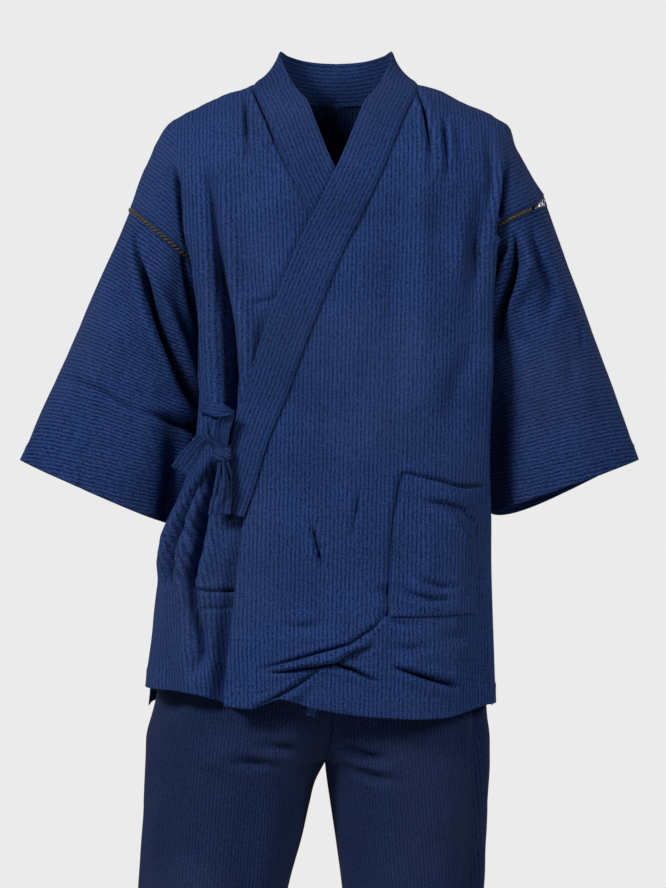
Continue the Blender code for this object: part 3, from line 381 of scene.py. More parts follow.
jacket = {
    "armpit": 0.172, "hem": 0.757, "vent": 0.640, "ventGap": 0.006, "seam": 0.0003,
    "square": 2.9, "round": 2.4, "crest": 0.82, "spread": 0.0220,
    "lap": 0.0080, "lapKick": 0.005, "lapFade": (0.100, 0.175),
    "tuck": 0.003, "neck": 0.100, "neckBack": 0.370,
    "frontSpans": 11, "pocketColumn": 6, "returnSpans": 3, "wallSpans": 4, "shoulderSpans": 12,
    "crowding": 1.3, "solidWall": 0.0016,
    "acrossStep": 0.0027, "frontStep": 0.0026, "backStep": 0.0068,
    "hemFold": 0.022, "hemStep": 0.0019,
    # the under layer's hem behind the lap: how far it is drawn up, and where that starts across and down
    "innerHem": {"rise": 0.016, "across": (0.105, 0.016), "down": (0.640, 0.070)},
    # rows over which the folds come to reach the side below the armhole, and columns over which they end
    "foldFade": (14.0, 8.0),
    "ripple": ((0.035, 0.22, 0.0026), (0.016, 0.07, 0.0011), (0.007, 0.014, 0.0005)),
    # the gap where each front stands out over the sleeve cap: drops where it opens and closes, depth, half width
    "armholeGap": {"left": (0.086, 0.160, 0.030, 0.0056), "right": (0.092, 0.210, 0.046, 0.0078)},
    # half widths to the folds where the front turns to the side, depths, half widths at the side seams
    "torso": table(
        "drop   left   right  front  back   sideLeft sideRight",
        (0.172, 0.1945, 0.1850, 0.122, 0.122, 0.1570, 0.1500),
        (0.200, 0.1925, 0.1790, 0.125, 0.123, 0.1585, 0.1500),
        (0.250, 0.1890, 0.1665, 0.127, 0.122, 0.1625, 0.1500),
        (0.300, 0.1870, 0.1560, 0.128, 0.121, 0.1660, 0.1520),
        (0.350, 0.1865, 0.1560, 0.128, 0.119, 0.1695, 0.1540),
        (0.400, 0.1850, 0.1580, 0.127, 0.117, 0.1730, 0.1590),
        (0.450, 0.1800, 0.1620, 0.126, 0.117, 0.1765, 0.1700),
        (0.500, 0.1730, 0.1740, 0.127, 0.119, 0.1810, 0.1850),
        (0.550, 0.1690, 0.1860, 0.128, 0.122, 0.1850, 0.2040),
        (0.600, 0.1680, 0.1920, 0.130, 0.126, 0.1880, 0.2180),
        (0.680, 0.1690, 0.1980, 0.132, 0.130, 0.1915, 0.2250),
        (0.760, 0.1710, 0.2040, 0.134, 0.132, 0.1940, 0.2330),
    ),
    "ridge": table(
        "x      drop",
        (0.000, -0.0300), (0.050, -0.0265), (0.100, -0.0160), (0.130, -0.0060), (0.170, 0.0110),
        (0.200, 0.0270), (0.220, 0.0400),
    ),
    "seamLine": table(
        "drop    x",
        (-0.016, 0.1000), (0.000, 0.0965), (0.034, 0.0815), (0.057, 0.0725), (0.102, 0.0552),
        (0.146, 0.0345), (0.212, 0.0024), (0.255, -0.0153), (0.330, -0.0440), (0.380, -0.0614),
        (0.4205, -0.0785), (0.467, -0.0913), (0.520, -0.1090), (0.600, -0.1190), (0.760, -0.1330),
    ),
    "frontDrops": (0.210, 0.245, 0.290, 0.345, 0.405, 0.466, 0.520, 0.580, 0.636, 0.685, 0.725, 0.757),
    "backDrops": (0.210, 0.245, 0.310, 0.380, 0.450, 0.520, 0.600, 0.680, 0.757),
    # how far each front hem is drawn up
    "hemRise": {
        "left": table(
            "x      rise",
            (-0.135, 0.0140), (-0.090, 0.0130), (-0.070, 0.0220), (-0.028, 0.0125), (0.016, 0.0045),
            (0.062, 0.0000), (0.132, 0.0000), (0.180, 0.0110),
        ),
        "right": table("x rise", (0.000, 0.0120), (0.130, 0.0135), (0.170, 0.0264), (0.230, 0.0300)),
    },
    # where the grain starts its count on each half, and its lean
    "grainAt": {"left": 0.060, "right": 0.120},
    "grainLean": {"left": -0.02, "right": -0.05},
    "flat": {"left": (0.46, 1.62, 0.50), "right": (0.46, 1.62, 0.51)},
}

# Folds as (x, drop, half width, depth) along each, seen from the front.
creases = {
    "left": [
        [(0.102, 0.008, .003, 0), (0.107, 0.024, .0035, .009), (0.110, 0.056, .004, .009),
         (0.112, 0.085, .005, .004), (0.113, 0.115, .006, 0)],
        [(0.1310, 0.030, .003, 0), (0.1300, 0.052, .004, .008), (0.1315, 0.085, .004, .006),
         (0.134, 0.125, .006, 0)],
        [(0.163, 0.148, .008, 0), (0.163, 0.190, .009, .007), (0.160, 0.240, .010, 0)],
        [(0.150, 0.030, .006, 0), (0.152, 0.060, .007, .003), (0.156, 0.095, .008, 0)],
        [(0.125, 0.090, .012, 0), (0.122, 0.160, .014, .005), (0.120, 0.257, .016, 0)],
        [(0.180, 0.110, .008, 0), (0.167, 0.200, .010, .008), (0.156, 0.310, .014, 0)],
        [(0.184, 0.040, .006, 0), (0.187, 0.090, .006, .005), (0.189, 0.140, .006, .004),
         (0.186, 0.190, .008, 0)],
        [(0.2090, 0.078, .003, 0), (0.2080, 0.105, .004, .012), (0.2050, 0.130, .005, .018),
         (0.2010, 0.155, .005, .018), (0.1985, 0.175, .005, .012)],
        [(0.100, -0.002, .003, .003), (0.103, 0.012, .003, .007), (0.106, 0.034, .003, 0)],
        [(0.084, 0.130, .014, 0), (0.074, 0.230, .018, .004), (0.068, 0.360, .020, 0)],
        [(0.170, 0.290, .012, 0), (0.152, 0.340, .012, .005), (0.132, 0.420, .014, 0)],
        [(0.030, 0.300, .014, 0), (0.022, 0.380, .016, .003), (0.026, 0.450, .014, 0)],
        [(0.0275, 0.480, .003, 0), (0.0258, 0.496, .003, .006), (0.0228, 0.5114, .003, .008),
         (0.0198, 0.528, .003, .005), (0.0187, 0.550, .004, 0)],
        [(-0.030, 0.518, .003, 0), (-0.026, 0.538, .0035, .009), (-0.020, 0.562, .0035, .010),
         (-0.0155, 0.582, .004, 0)],
        # the long pulled-up fold above the hem, and what branches off it
        [(0.0620, 0.628, .003, 0), (0.0443, 0.649, .003, .007), (0.0168, 0.6693, .003, .009),
         (-0.0132, 0.6777, .003, .008), (-0.0515, 0.6885, .003, .008), (-0.0988, 0.7005, .003, 0)],
        [(0.0480, 0.6700, .003, 0), (0.0204, 0.6777, .003, .007), (0.0019, 0.6897, .003, .009),
         (-0.0240, 0.6951, .003, .010), (-0.0647, 0.7017, .003, .006), (-0.0960, 0.7036, .003, 0)],
        [(0.0500, 0.6560, .005, 0), (0.0186, 0.6735, .005, -.006), (-0.0050, 0.6845, .006, -.007),
         (-0.0400, 0.6915, .005, -.006), (-0.0800, 0.7000, .005, 0)],
        [(-0.0204, 0.6951, .003, .004), (0.0019, 0.6941, .0035, .011), (0.0168, 0.6981, .0035, .012),
         (0.0330, 0.7065, .0035, .010), (0.0510, 0.7165, .004, 0)],
        [(-0.0240, 0.7005, .003, .004), (-0.0443, 0.7172, .003, .011), (-0.0647, 0.7292, .003, .010),
         (-0.0922, 0.7423, .003, .004), (-0.1000, 0.7480, .004, 0)],
        [(-0.0300, 0.7120, .006, 0), (-0.0500, 0.7290, .006, -.005), (-0.0800, 0.7450, .006, -.003),
         (-0.09, 0.752, .006, 0)],
        [(0.0640, 0.6940, .003, 0), (0.0800, 0.7010, .004, .009), (0.1060, 0.7100, .0045, .014),
         (0.1330, 0.7190, .005, .010), (0.1450, 0.7240, .006, 0)],
        [(-0.079, 0.645, .006, 0), (-0.040, 0.650, .006, .004), (0.000, 0.645, .007, 0)],
        [(-0.075, 0.725, .010, 0), (-0.030, 0.737, .010, -.003), (0.020, 0.742, .010, 0)],
        [(0.030, 0.600, .008, 0), (0.058, 0.610, .008, .005), (0.076, 0.640, .009, 0)],
        [(0.046, 0.628, .005, 0), (0.066, 0.644, .005, .005), (0.098, 0.650, .006, 0)],
        [(0.056, 0.668, .006, 0), (0.084, 0.676, .006, .005), (0.120, 0.672, .008, 0)],
        [(0.110, 0.655, .008, 0), (0.138, 0.664, .008, .004), (0.165, 0.655, .008, 0)],
    ],
    "right": [
        [(0.1115, 0.000, .003, 0), (0.1105, 0.022, .0035, .006), (0.1090, 0.045, .004, .008),
         (0.107, 0.072, .004, .004), (0.105, 0.100, .006, 0)],
        [(0.1010, -0.004, .003, .006), (0.0910, 0.022, .003, .009), (0.0810, 0.046, .003, .008),
         (0.0720, 0.068, .003, .006), (0.0630, 0.090, .003, .004), (0.052, 0.115, .003, 0)],
        [(0.084, 0.040, .004, 0), (0.078, 0.070, .005, .004), (0.070, 0.100, .006, 0)],
        [(0.160, 0.080, .006, 0), (0.155, 0.105, .007, .005), (0.149, 0.1315, .008, .009),
         (0.1437, 0.185, .009, .014), (0.139, 0.2350, .0095, .027), (0.1300, 0.290, .010, .040),
         (0.1262, 0.349, .011, .044), (0.1262, 0.385, .009, .038), (0.128, 0.430, .006, .020),
         (0.130, 0.448, .005, .010)],
        [(0.120, 0.130, .012, 0), (0.108, 0.230, .013, .004), (0.100, 0.330, .014, 0)],
        [(0.090, 0.200, .012, 0), (0.080, 0.300, .014, .004), (0.076, 0.390, .012, 0)],
        [(0.064, 0.2530, .004, 0), (0.078, 0.2575, .004, .0025), (0.092, 0.2600, .004, .0030),
         (0.105, 0.268, .005, 0)],
        # gathers that fan out below the knot
        [(0.1447, 0.450, .004, .004), (0.1497, 0.4755, .005, .018), (0.1552, 0.5050, .006, .030),
         (0.1607, 0.5350, .0065, .036), (0.1668, 0.5628, .0065, .036), (0.1740, 0.5951, .006, .024),
         (0.1712, 0.627, .007, .016), (0.1650, 0.659, .008, .018), (0.1635, 0.6803, .008, .016),
         (0.1690, 0.715, .010, 0)],
        [(0.1640, 0.470, .004, 0), (0.1690, 0.486, .0045, .018), (0.1795, 0.5158, .0050, .034),
         (0.1895, 0.5480, .0055, .042), (0.1975, 0.5780, .0055, .034), (0.2020, 0.605, .006, 0)],
        [(0.1240, 0.447, .004, .004), (0.1225, 0.4774, .005, .016), (0.1250, 0.509, .005, .016),
         (0.1275, 0.532, .005, 0)],
        [(0.1180, 0.545, .010, 0), (0.1210, 0.600, .020, .010), (0.1290, 0.670, .022, .013),
         (0.1350, 0.757, .022, .013)],
        [(0.174, 0.603, .003, .002), (0.155, 0.6066, .003, .0055), (0.125, 0.6066, .0032, .006),
         (0.112, 0.606, .003, 0)],
        [(0.168, 0.630, .003, 0), (0.155, 0.628, .003, .003), (0.130, 0.6265, .003, .0022),
         (0.112, 0.626, .003, 0)],
        [(0.138, 0.650, .010, 0), (0.136, 0.700, .010, .007), (0.140, 0.745, .010, .003)],
        [(0.205, 0.650, .010, 0), (0.200, 0.700, .012, .006), (0.198, 0.757, .012, .004)],
    ],
    "back": [
        [(0.110, 0.060, .010, 0), (0.122, 0.130, .014, .007), (0.138, 0.300, .016, 0)],
        [(0.160, 0.090, .009, 0), (0.158, 0.180, .010, .009), (0.150, 0.280, .012, 0)],
        [(0.064, 0.240, .016, 0), (0.076, 0.380, .018, .007), (0.092, 0.560, .020, 0)],
        [(0.140, 0.360, .012, 0), (0.146, 0.500, .013, .010), (0.152, 0.640, .016, 0)],
        [(0.014, 0.410, .010, 0), (0.060, 0.435, .010, .005), (0.115, 0.470, .010, 0)],
        [(0.010, 0.520, .010, 0), (0.060, 0.530, .010, .005), (0.120, 0.515, .010, 0)],
        [(0.100, 0.600, .012, 0), (0.104, 0.680, .014, .006), (0.100, 0.750, .014, 0)],
        [(0.040, 0.640, .012, 0), (0.046, 0.700, .014, .006), (0.050, 0.757, .014, .004)],
        [(0.150, 0.640, .012, 0), (0.158, 0.700, .012, .006), (0.164, 0.757, .012, .004)],
    ],
}


def halfWidth(side, ownX, drop):
    other = {"left": "right", "right": "left"}[side]
    torso = jacket["torso"]
    own, far = (smooth(torso["drop"], torso[s], drop) / jacket["crest"] for s in (side, other))
    return np.where(np.asarray(ownX) >= 0, own, far)


def boxLevel(ownX, wide):  # share of the full depth left at ownX on a round-cornered box
    square = jacket["square"]
    return (1 - np.minimum(np.abs(ownX) / wide, 1) ** square) ** (1 / square)


def rollOver(share):  # the shoulder's roll: share of the depth left, share of the height gained
    angle = share * math.pi / 2
    power = 2 / jacket["round"]
    return math.cos(angle) ** power if share < 1 else 0.0, math.sin(angle) ** power


def bodyPoint(side, ownX, drop, face):
    deep = smooth(jacket["torso"]["drop"], jacket["torso"][face], drop) * (-1 if face == "front" else 1)
    y = deep * boxLevel(ownX, halfWidth(side, ownX, drop))
    return np.stack([ownX, y, -drop * np.ones_like(ownX)], axis=-1)


def handled(start, leave, arrive, end, spans):  # points after the start of a two-handled curve
    t = np.linspace(0, 1, spans + 1)[1:, None]
    return (1 - t) ** 3 * start + 3 * t * (1 - t) ** 2 * leave + 3 * t * t * (1 - t) * arrive + t**3 * end


def sidePoints(side, drop, face):  # from the fold at front or back to the side seam, pressed in by the arm
    torso = jacket["torso"]
    crestX = float(smooth(torso["drop"], torso[side], drop))
    crest, before = bodyPoint(side, np.array([crestX, crestX - 0.002]), drop, face)
    seamX = float(smooth(torso["drop"], torso["side" + side.title()], drop))
    pressed = float(ease((crestX - seamX) / 0.02 + 0.5))
    leave = crest + unit(crest - before) * (0.038 - 0.032 * pressed)
    arrive = np.array([seamX, crest[1] * (0.55 + 0.35 * pressed), -drop])
    opening = jacket["seam"] / 2 + jacket["ventGap"] / 2 * float(ease((drop - jacket["vent"]) / 0.05))
    end = np.array([seamX, math.copysign(opening, crest[1]), -drop])
    return handled(crest, leave, arrive, end, jacket["returnSpans"] + jacket["wallSpans"])


def shoulderPoint(side, ownX, share, face):
    level, height = rollOver(share)
    armpit, torso = jacket["armpit"], jacket["torso"]
    wide = halfWidth(side, ownX, armpit) + jacket["spread"] * share
    deep = smooth(torso["drop"], torso[face], armpit) * (-1 if face == "front" else 1)
    ridge = smooth(jacket["ridge"]["x"], jacket["ridge"]["drop"], np.abs(ownX))
    return np.stack([ownX, deep * boxLevel(ownX, wide) * level, -(armpit + (ridge - armpit) * height)], axis=-1)


def frontSurface(side, ownX, drop):  # the front of the body or shoulder at any x and drop
    ownX, drop = np.broadcast_arrays(np.asarray(ownX, float), np.asarray(drop, float))
    armpit, torso, power = jacket["armpit"], jacket["torso"], jacket["round"]
    low = bodyPoint(side, ownX, np.maximum(drop, armpit), "front")
    ridge = smooth(jacket["ridge"]["x"], jacket["ridge"]["drop"], np.abs(ownX))
    height = np.clip((armpit - drop) / (armpit - ridge), 0, 1)
    share = np.arcsin(height ** (power / 2)) / (math.pi / 2)
    wide = halfWidth(side, ownX, armpit) + jacket["spread"] * share
    y = -smooth(torso["drop"], torso["front"], armpit) * boxLevel(ownX, wide)
    y = y * (1 - height**power) ** (1 / power)
    return np.stack([ownX, np.where(drop >= armpit, low[..., 1], y), -drop], axis=-1)


def lapLift(x, drop):  # how far the left front stands out over the right front
    fade = 1 - ease((x - jacket["lapFade"][0]) / (jacket["lapFade"][1] - jacket["lapFade"][0]))
    return (jacket["lap"] + jacket["lapKick"] * ease((drop - 0.60) / 0.08)) * fade * ease((drop - 0.02) / 0.07)


def seamX(drop):
    return smooth(jacket["seamLine"]["drop"], jacket["seamLine"]["x"], drop)


def edgeX(share):  # x where the front ends under the collar band, at a share of the shoulder roll
    x = jacket["neck"]
    for _ in range(30):
        x = float(seamX(-shoulderPoint("left", np.array([x]), share, "front")[0, 2]))
    return x - jacket["tuck"]


def neckX(share):  # x of the neck hole on the back
    reach = (1 - share) / jacket["neckBack"]
    return (jacket["neck"] - jacket["tuck"]) * math.sqrt(1 - reach**2) if reach < 1 else -jacket["seam"]


def columnsTo(start, crestX):
    share = 1 - np.arange(jacket["frontSpans"] + 1) / jacket["frontSpans"]
    return crestX + (start - crestX) * share ** jacket["crowding"]


# ---- sleeves: their tube comes first, because the jacket's armhole follows it ----

sleeves = {
    "ripple": ((0.030, 0.030, 0.0022), (0.012, 0.012, 0.0009)),
    "left": {
        "x": 0.2635, "drop": 0.134, "lean": 19.8, "length": 0.335, "gap": 0.0052, "topGap": 0.0110, "twist": 0.16,
        "hidden": math.radians(112), "cornerLean": 18, "edgeLean": 36,
        "form": table(
            "down   width  slope depth  forward lowerBack",
            (0.000, 0.1085, 26.0, 0.166, 0.000, 0.000),
            (0.060, 0.1240, 25.0, 0.164, 0.001, 0.000),
            (0.126, 0.1430, 23.5, 0.152, 0.003, 0.002),
            (0.184, 0.1600, 22.0, 0.138, 0.006, 0.005),
            (0.248, 0.1760, 21.0, 0.122, 0.009, 0.009),
            (0.340, 0.1950, 19.5, 0.100, 0.012, 0.014),
        ),
        # (share of the way round x girth, distance down, half width, depth); the top fold is at 0
        "creases": [
            [(0.116, 0.014, .003, 0), (0.118, 0.026, .005, .008), (0.120, 0.038, .007, .020, .002),
             (0.125, 0.052, .009, .034, .003), (0.136, 0.068, .009, .036, .003), (0.149, 0.085, .008, .030, .002),
             (0.163, 0.108, .007, .016), (0.170, 0.130, .008, 0)],
            [(0.086, 0.014, .006, 0), (0.087, 0.040, .009, .009), (0.087, 0.064, .011, .012),
             (0.085, 0.104, .011, .009), (0.095, 0.135, .010, 0)],
            [(0.137, 0.118, .006, 0), (0.135, 0.136, .007, .006), (0.133, 0.155, .007, 0)],
            [(0.050, 0.150, .004, 0), (0.053, 0.165, .004, .004), (0.058, 0.185, .005, 0)],
            [(0.080, 0.180, .008, 0), (0.085, 0.205, .008, .003), (0.090, 0.240, .008, 0)],
            [(0.176, 0.170, .012, 0), (0.192, 0.250, .016, .007), (0.204, 0.325, .018, .005)],
            [(0.120, 0.190, .014, 0), (0.112, 0.260, .014, .003), (0.108, 0.320, .014, 0)],
            [(0.330, 0.020, .018, 0), (0.310, 0.100, .020, .012), (0.285, 0.180, .020, 0)],
            [(0.390, 0.060, .014, 0), (0.385, 0.150, .016, .004), (0.370, 0.260, .016, 0)],
        ],
    },
    "right": {
        "x": 0.2580, "drop": 0.141, "lean": 23.5, "length": 0.337, "gap": 0.0055, "topGap": 0.0010, "twist": 0.26,
        "hidden": math.radians(126), "cornerLean": 42, "edgeLean": 22,
        "form": table(
            "down   width  slope depth  forward lowerBack",
            (0.000, 0.1280, 40.0, 0.166, 0.000, 0.000),
            (0.060, 0.1450, 36.0, 0.156, 0.001, 0.000),
            (0.126, 0.1670, 31.5, 0.138, 0.003, 0.000),
            (0.184, 0.1850, 28.5, 0.120, 0.006, 0.000),
            (0.248, 0.1970, 26.0, 0.105, 0.009, 0.000),
            (0.340, 0.2060, 23.5, 0.094, 0.012, 0.000),
        ),
        "creases": [
            [(0.062, 0.012, .003, 0), (0.067, 0.025, .004, .008), (0.085, 0.042, .006, .014),
             (0.100, 0.056, .007, .024), (0.117, 0.075, .009, .036, -.002), (0.131, 0.093, .010, .042, -.003),
             (0.150, 0.116, .010, .042, -.003), (0.169, 0.141, .010, .038, -.002), (0.185, 0.158, .010, .030),
             (0.205, 0.176, .010, .010)],
            [(0.152, 0.004, .004, .004), (0.168, 0.030, .006, .014), (0.184, 0.054, .008, .020),
             (0.207, 0.085, .010, .014)],
            [(0.130, 0.214, .004, 0), (0.150, 0.210, .006, .006), (0.166, 0.206, .008, .012),
             (0.215, 0.199, .012, .016)],
            [(0.176, 0.222, .014, .004), (0.188, 0.270, .016, .016), (0.205, 0.325, .018, .014)],
            [(0.024, 0.226, .006, 0), (0.060, 0.218, .006, .003), (0.090, 0.215, .005, .004),
             (0.115, 0.218, .004, .003), (0.131, 0.216, .004, 0)],
            [(0.052, 0.215, .008, 0), (0.062, 0.264, .010, .005), (0.083, 0.330, .010, .003)],
            [(0.090, 0.120, .0025, 0), (0.096, 0.140, .0025, .0022), (0.104, 0.175, .0025, .0022),
             (0.111, 0.208, .0025, 0)],
            [(0.098, 0.306, .003, 0), (0.101, 0.322, .003, .003), (0.103, 0.337, .003, .003)],
            [(0.090, 0.180, .014, 0), (0.100, 0.240, .016, .003), (0.104, 0.320, .016, 0)],
            [(0.335, 0.020, .018, 0), (0.315, 0.100, .020, .013), (0.285, 0.190, .020, 0)],
            [(0.395, 0.060, .014, 0), (0.385, 0.160, .016, .004), (0.372, 0.270, .016, 0)],
        ],
    },
    "girth": 0.46, "rowStep": 0.0027, "aroundSteps": 176, "hemFold": 0.020, "flat": (0.495, 0.340),
}


def leaning(side, degrees):  # unit vector downwards and outwards
    lean = math.radians(degrees)
    return np.array([signs[side] * math.sin(lean), 0, -math.cos(lean)])


def sleevePoint(side, distance, turn):  # turn runs from 0 at the top fold over the front to pi at the underarm
    arm = sleeves[side]
    form = arm["form"]
    wide, slope, deep, forward, lower = (
        smooth(form["down"], form[c], distance) for c in ("width", "slope", "depth", "forward", "lowerBack")
    )
    slope = np.radians(slope)
    down = leaning(side, arm["lean"])
    offset = wide / 2 * (1 - np.cos(turn))
    back = np.maximum(0.0, -np.sin(turn)) * (1 - np.cos(turn)) / 1.3
    reach = distance + lower * back
    x = signs[side] * arm["x"] + down[0] * reach - signs[side] * np.cos(slope) * offset
    z = -arm["drop"] + down[2] * reach - np.sin(slope) * offset
    return np.stack([x, -deep / 2 * np.sin(turn) - forward, z], axis=-1)


def capEdge(side, turn):  # the edge that the sleeve is laced to
    arm = sleeves[side]
    bend = np.minimum(turn, 2 * math.pi - turn)
    gap = arm["gap"] + arm["topGap"] * np.exp(-((bend / 0.55) ** 2))
    return sleevePoint(side, 0.0, turn) - leaning(side, arm["lean"]) * np.asarray(gap)[..., None]


def armholePoint(side, turn, face):
    arm = sleeves[side]
    inside = float(ease((turn - arm["hidden"] + 0.35) / 0.30))
    if face == "back":
        turn = 2 * math.pi - turn
    down = leaning(side, arm["lean"])
    along = sleevePoint(side, 0.0, turn + 0.01) - sleevePoint(side, 0.0, turn - 0.01)
    away = unit(np.cross(along, down)) * signs[side]
    return capEdge(side, turn) + (away - 0.3 * down) * (jacket["solidWall"] + 2 * jacket["seam"]) * inside


def capPoints(side, crest, climb, face):  # from the shoulder's fold to the armhole, climb 1 on top
    arm = sleeves[side]
    end = armholePoint(side, arm["hidden"] * (1 - climb), face)
    straight = unit(end - crest)
    top = float(ease((climb - 0.3) / 0.7))
    leave = unit(straight * (1 - top) + leaning(side, arm["cornerLean"]) * top)
    arrive = unit(straight * (1 - top) + leaning(side, arm["edgeLean"]) * top)
    reach = float(np.linalg.norm(end - crest)) / 3
    cap = handled(crest, crest + leave * reach, end - arrive * reach, end, jacket["returnSpans"])
    if climb > 0:
        return np.concatenate([cap, np.repeat(end[None], jacket["wallSpans"], axis=0)])
    turns = np.linspace(arm["hidden"], math.pi, jacket["wallSpans"] + 1)[1:]
    under = np.array([armholePoint(side, t, face) for t in turns])
    under[-1, 1] += jacket["seam"] / 2 * (-1 if face == "front" else 1)
    return np.concatenate([cap, under])


def bodyRow(side, drop, face):
    crestX = float(smooth(jacket["torso"]["drop"], jacket["torso"][side], drop))
    start = float(seamX(drop)) - jacket["tuck"] * (drop < 0.52) if face == "front" else -jacket["seam"]
    row = bodyPoint(side, columnsTo(start, crestX), drop, face)
    if side == "right" and drop == jacket["frontDrops"][0]:
        mirrored = np.array([-1, 1, 1])
        return np.concatenate([row, capPoints(side, row[-1] * mirrored, 0.0, face) * mirrored])
    row = np.concatenate([row, sidePoints(side, drop, face)])
    if face == "front":
        rise = jacket["hemRise"][side]
        row[:, 2] += smooth(rise["x"], rise["rise"], row[:, 0]) * ease((drop - 0.55) / (jacket["hem"] - 0.55)) ** 2
    return row


def shoulderRow(side, share, face):
    crestX = (float(halfWidth(side, 1.0, jacket["armpit"])) + jacket["spread"] * share) * jacket["crest"]
    start = edgeX(share) if face == "front" else neckX(share)
    row = shoulderPoint(side, columnsTo(start, crestX), share, face)
    spans = jacket["shoulderSpans"]
    climb = share if side == "left" else (1 + spans * share) / (1 + spans)
    mirrored = np.array([signs[side], 1, 1])
    return np.concatenate([row, capPoints(side, row[-1] * mirrored, climb, face) * mirrored])


def controlRows(side):  # rows of one body panel, up the front, over the shoulder and down the back
    spans = jacket["shoulderSpans"]
    aroundNeck = 1 - jacket["neckBack"] * np.sin(np.radians((18, 36, 54, 72, 90)))
    backShares = np.append(aroundNeck, (1 - jacket["neckBack"]) * np.arange(5, -1, -1) / 6)
    front = [bodyRow(side, d, "front") for d in reversed(jacket["frontDrops"])]
    front += [shoulderRow(side, s / spans, "front") for s in range(spans + 1)]
    back = [shoulderRow(side, s, "back") for s in backShares]
    back += [bodyRow(side, d, "back") for d in jacket["backDrops"]]
    lower = side == "right"
    armhole = (len(jacket["frontDrops"]) - lower, len(front) + len(backShares) - 1 + lower)
    return np.array(front + back), len(front), armhole


def pocketGroove(drop, column, columnAt):  # the front dips along the pocket's edge and behind its mouth
    start, end = columnAt[jacket["pocketColumn"]], columnAt[jacket["frontSpans"]]
    share = np.clip((column - start) / (end - start), 0, 1)
    mouth = pocket["top"] + smooth(pocket["sag"]["share"], pocket["sag"]["down"], share)
    beside = np.exp(-(((column - start + 0.7) / 0.8) ** 2)) * ease((drop - mouth) / 0.004 + 0.5)
    beside = beside * (1 - ease((drop - pocket["bottom"]) / 0.004 + 0.5))
    above = np.exp(-(((drop - mouth + 0.0005) / 0.0034) ** 2)) * ease((column - start) / 3.0 + 0.5)
    return pocket["grooves"][0] * beside + pocket["grooves"][1] * above * (1 - ease((column - end) / 3.0))


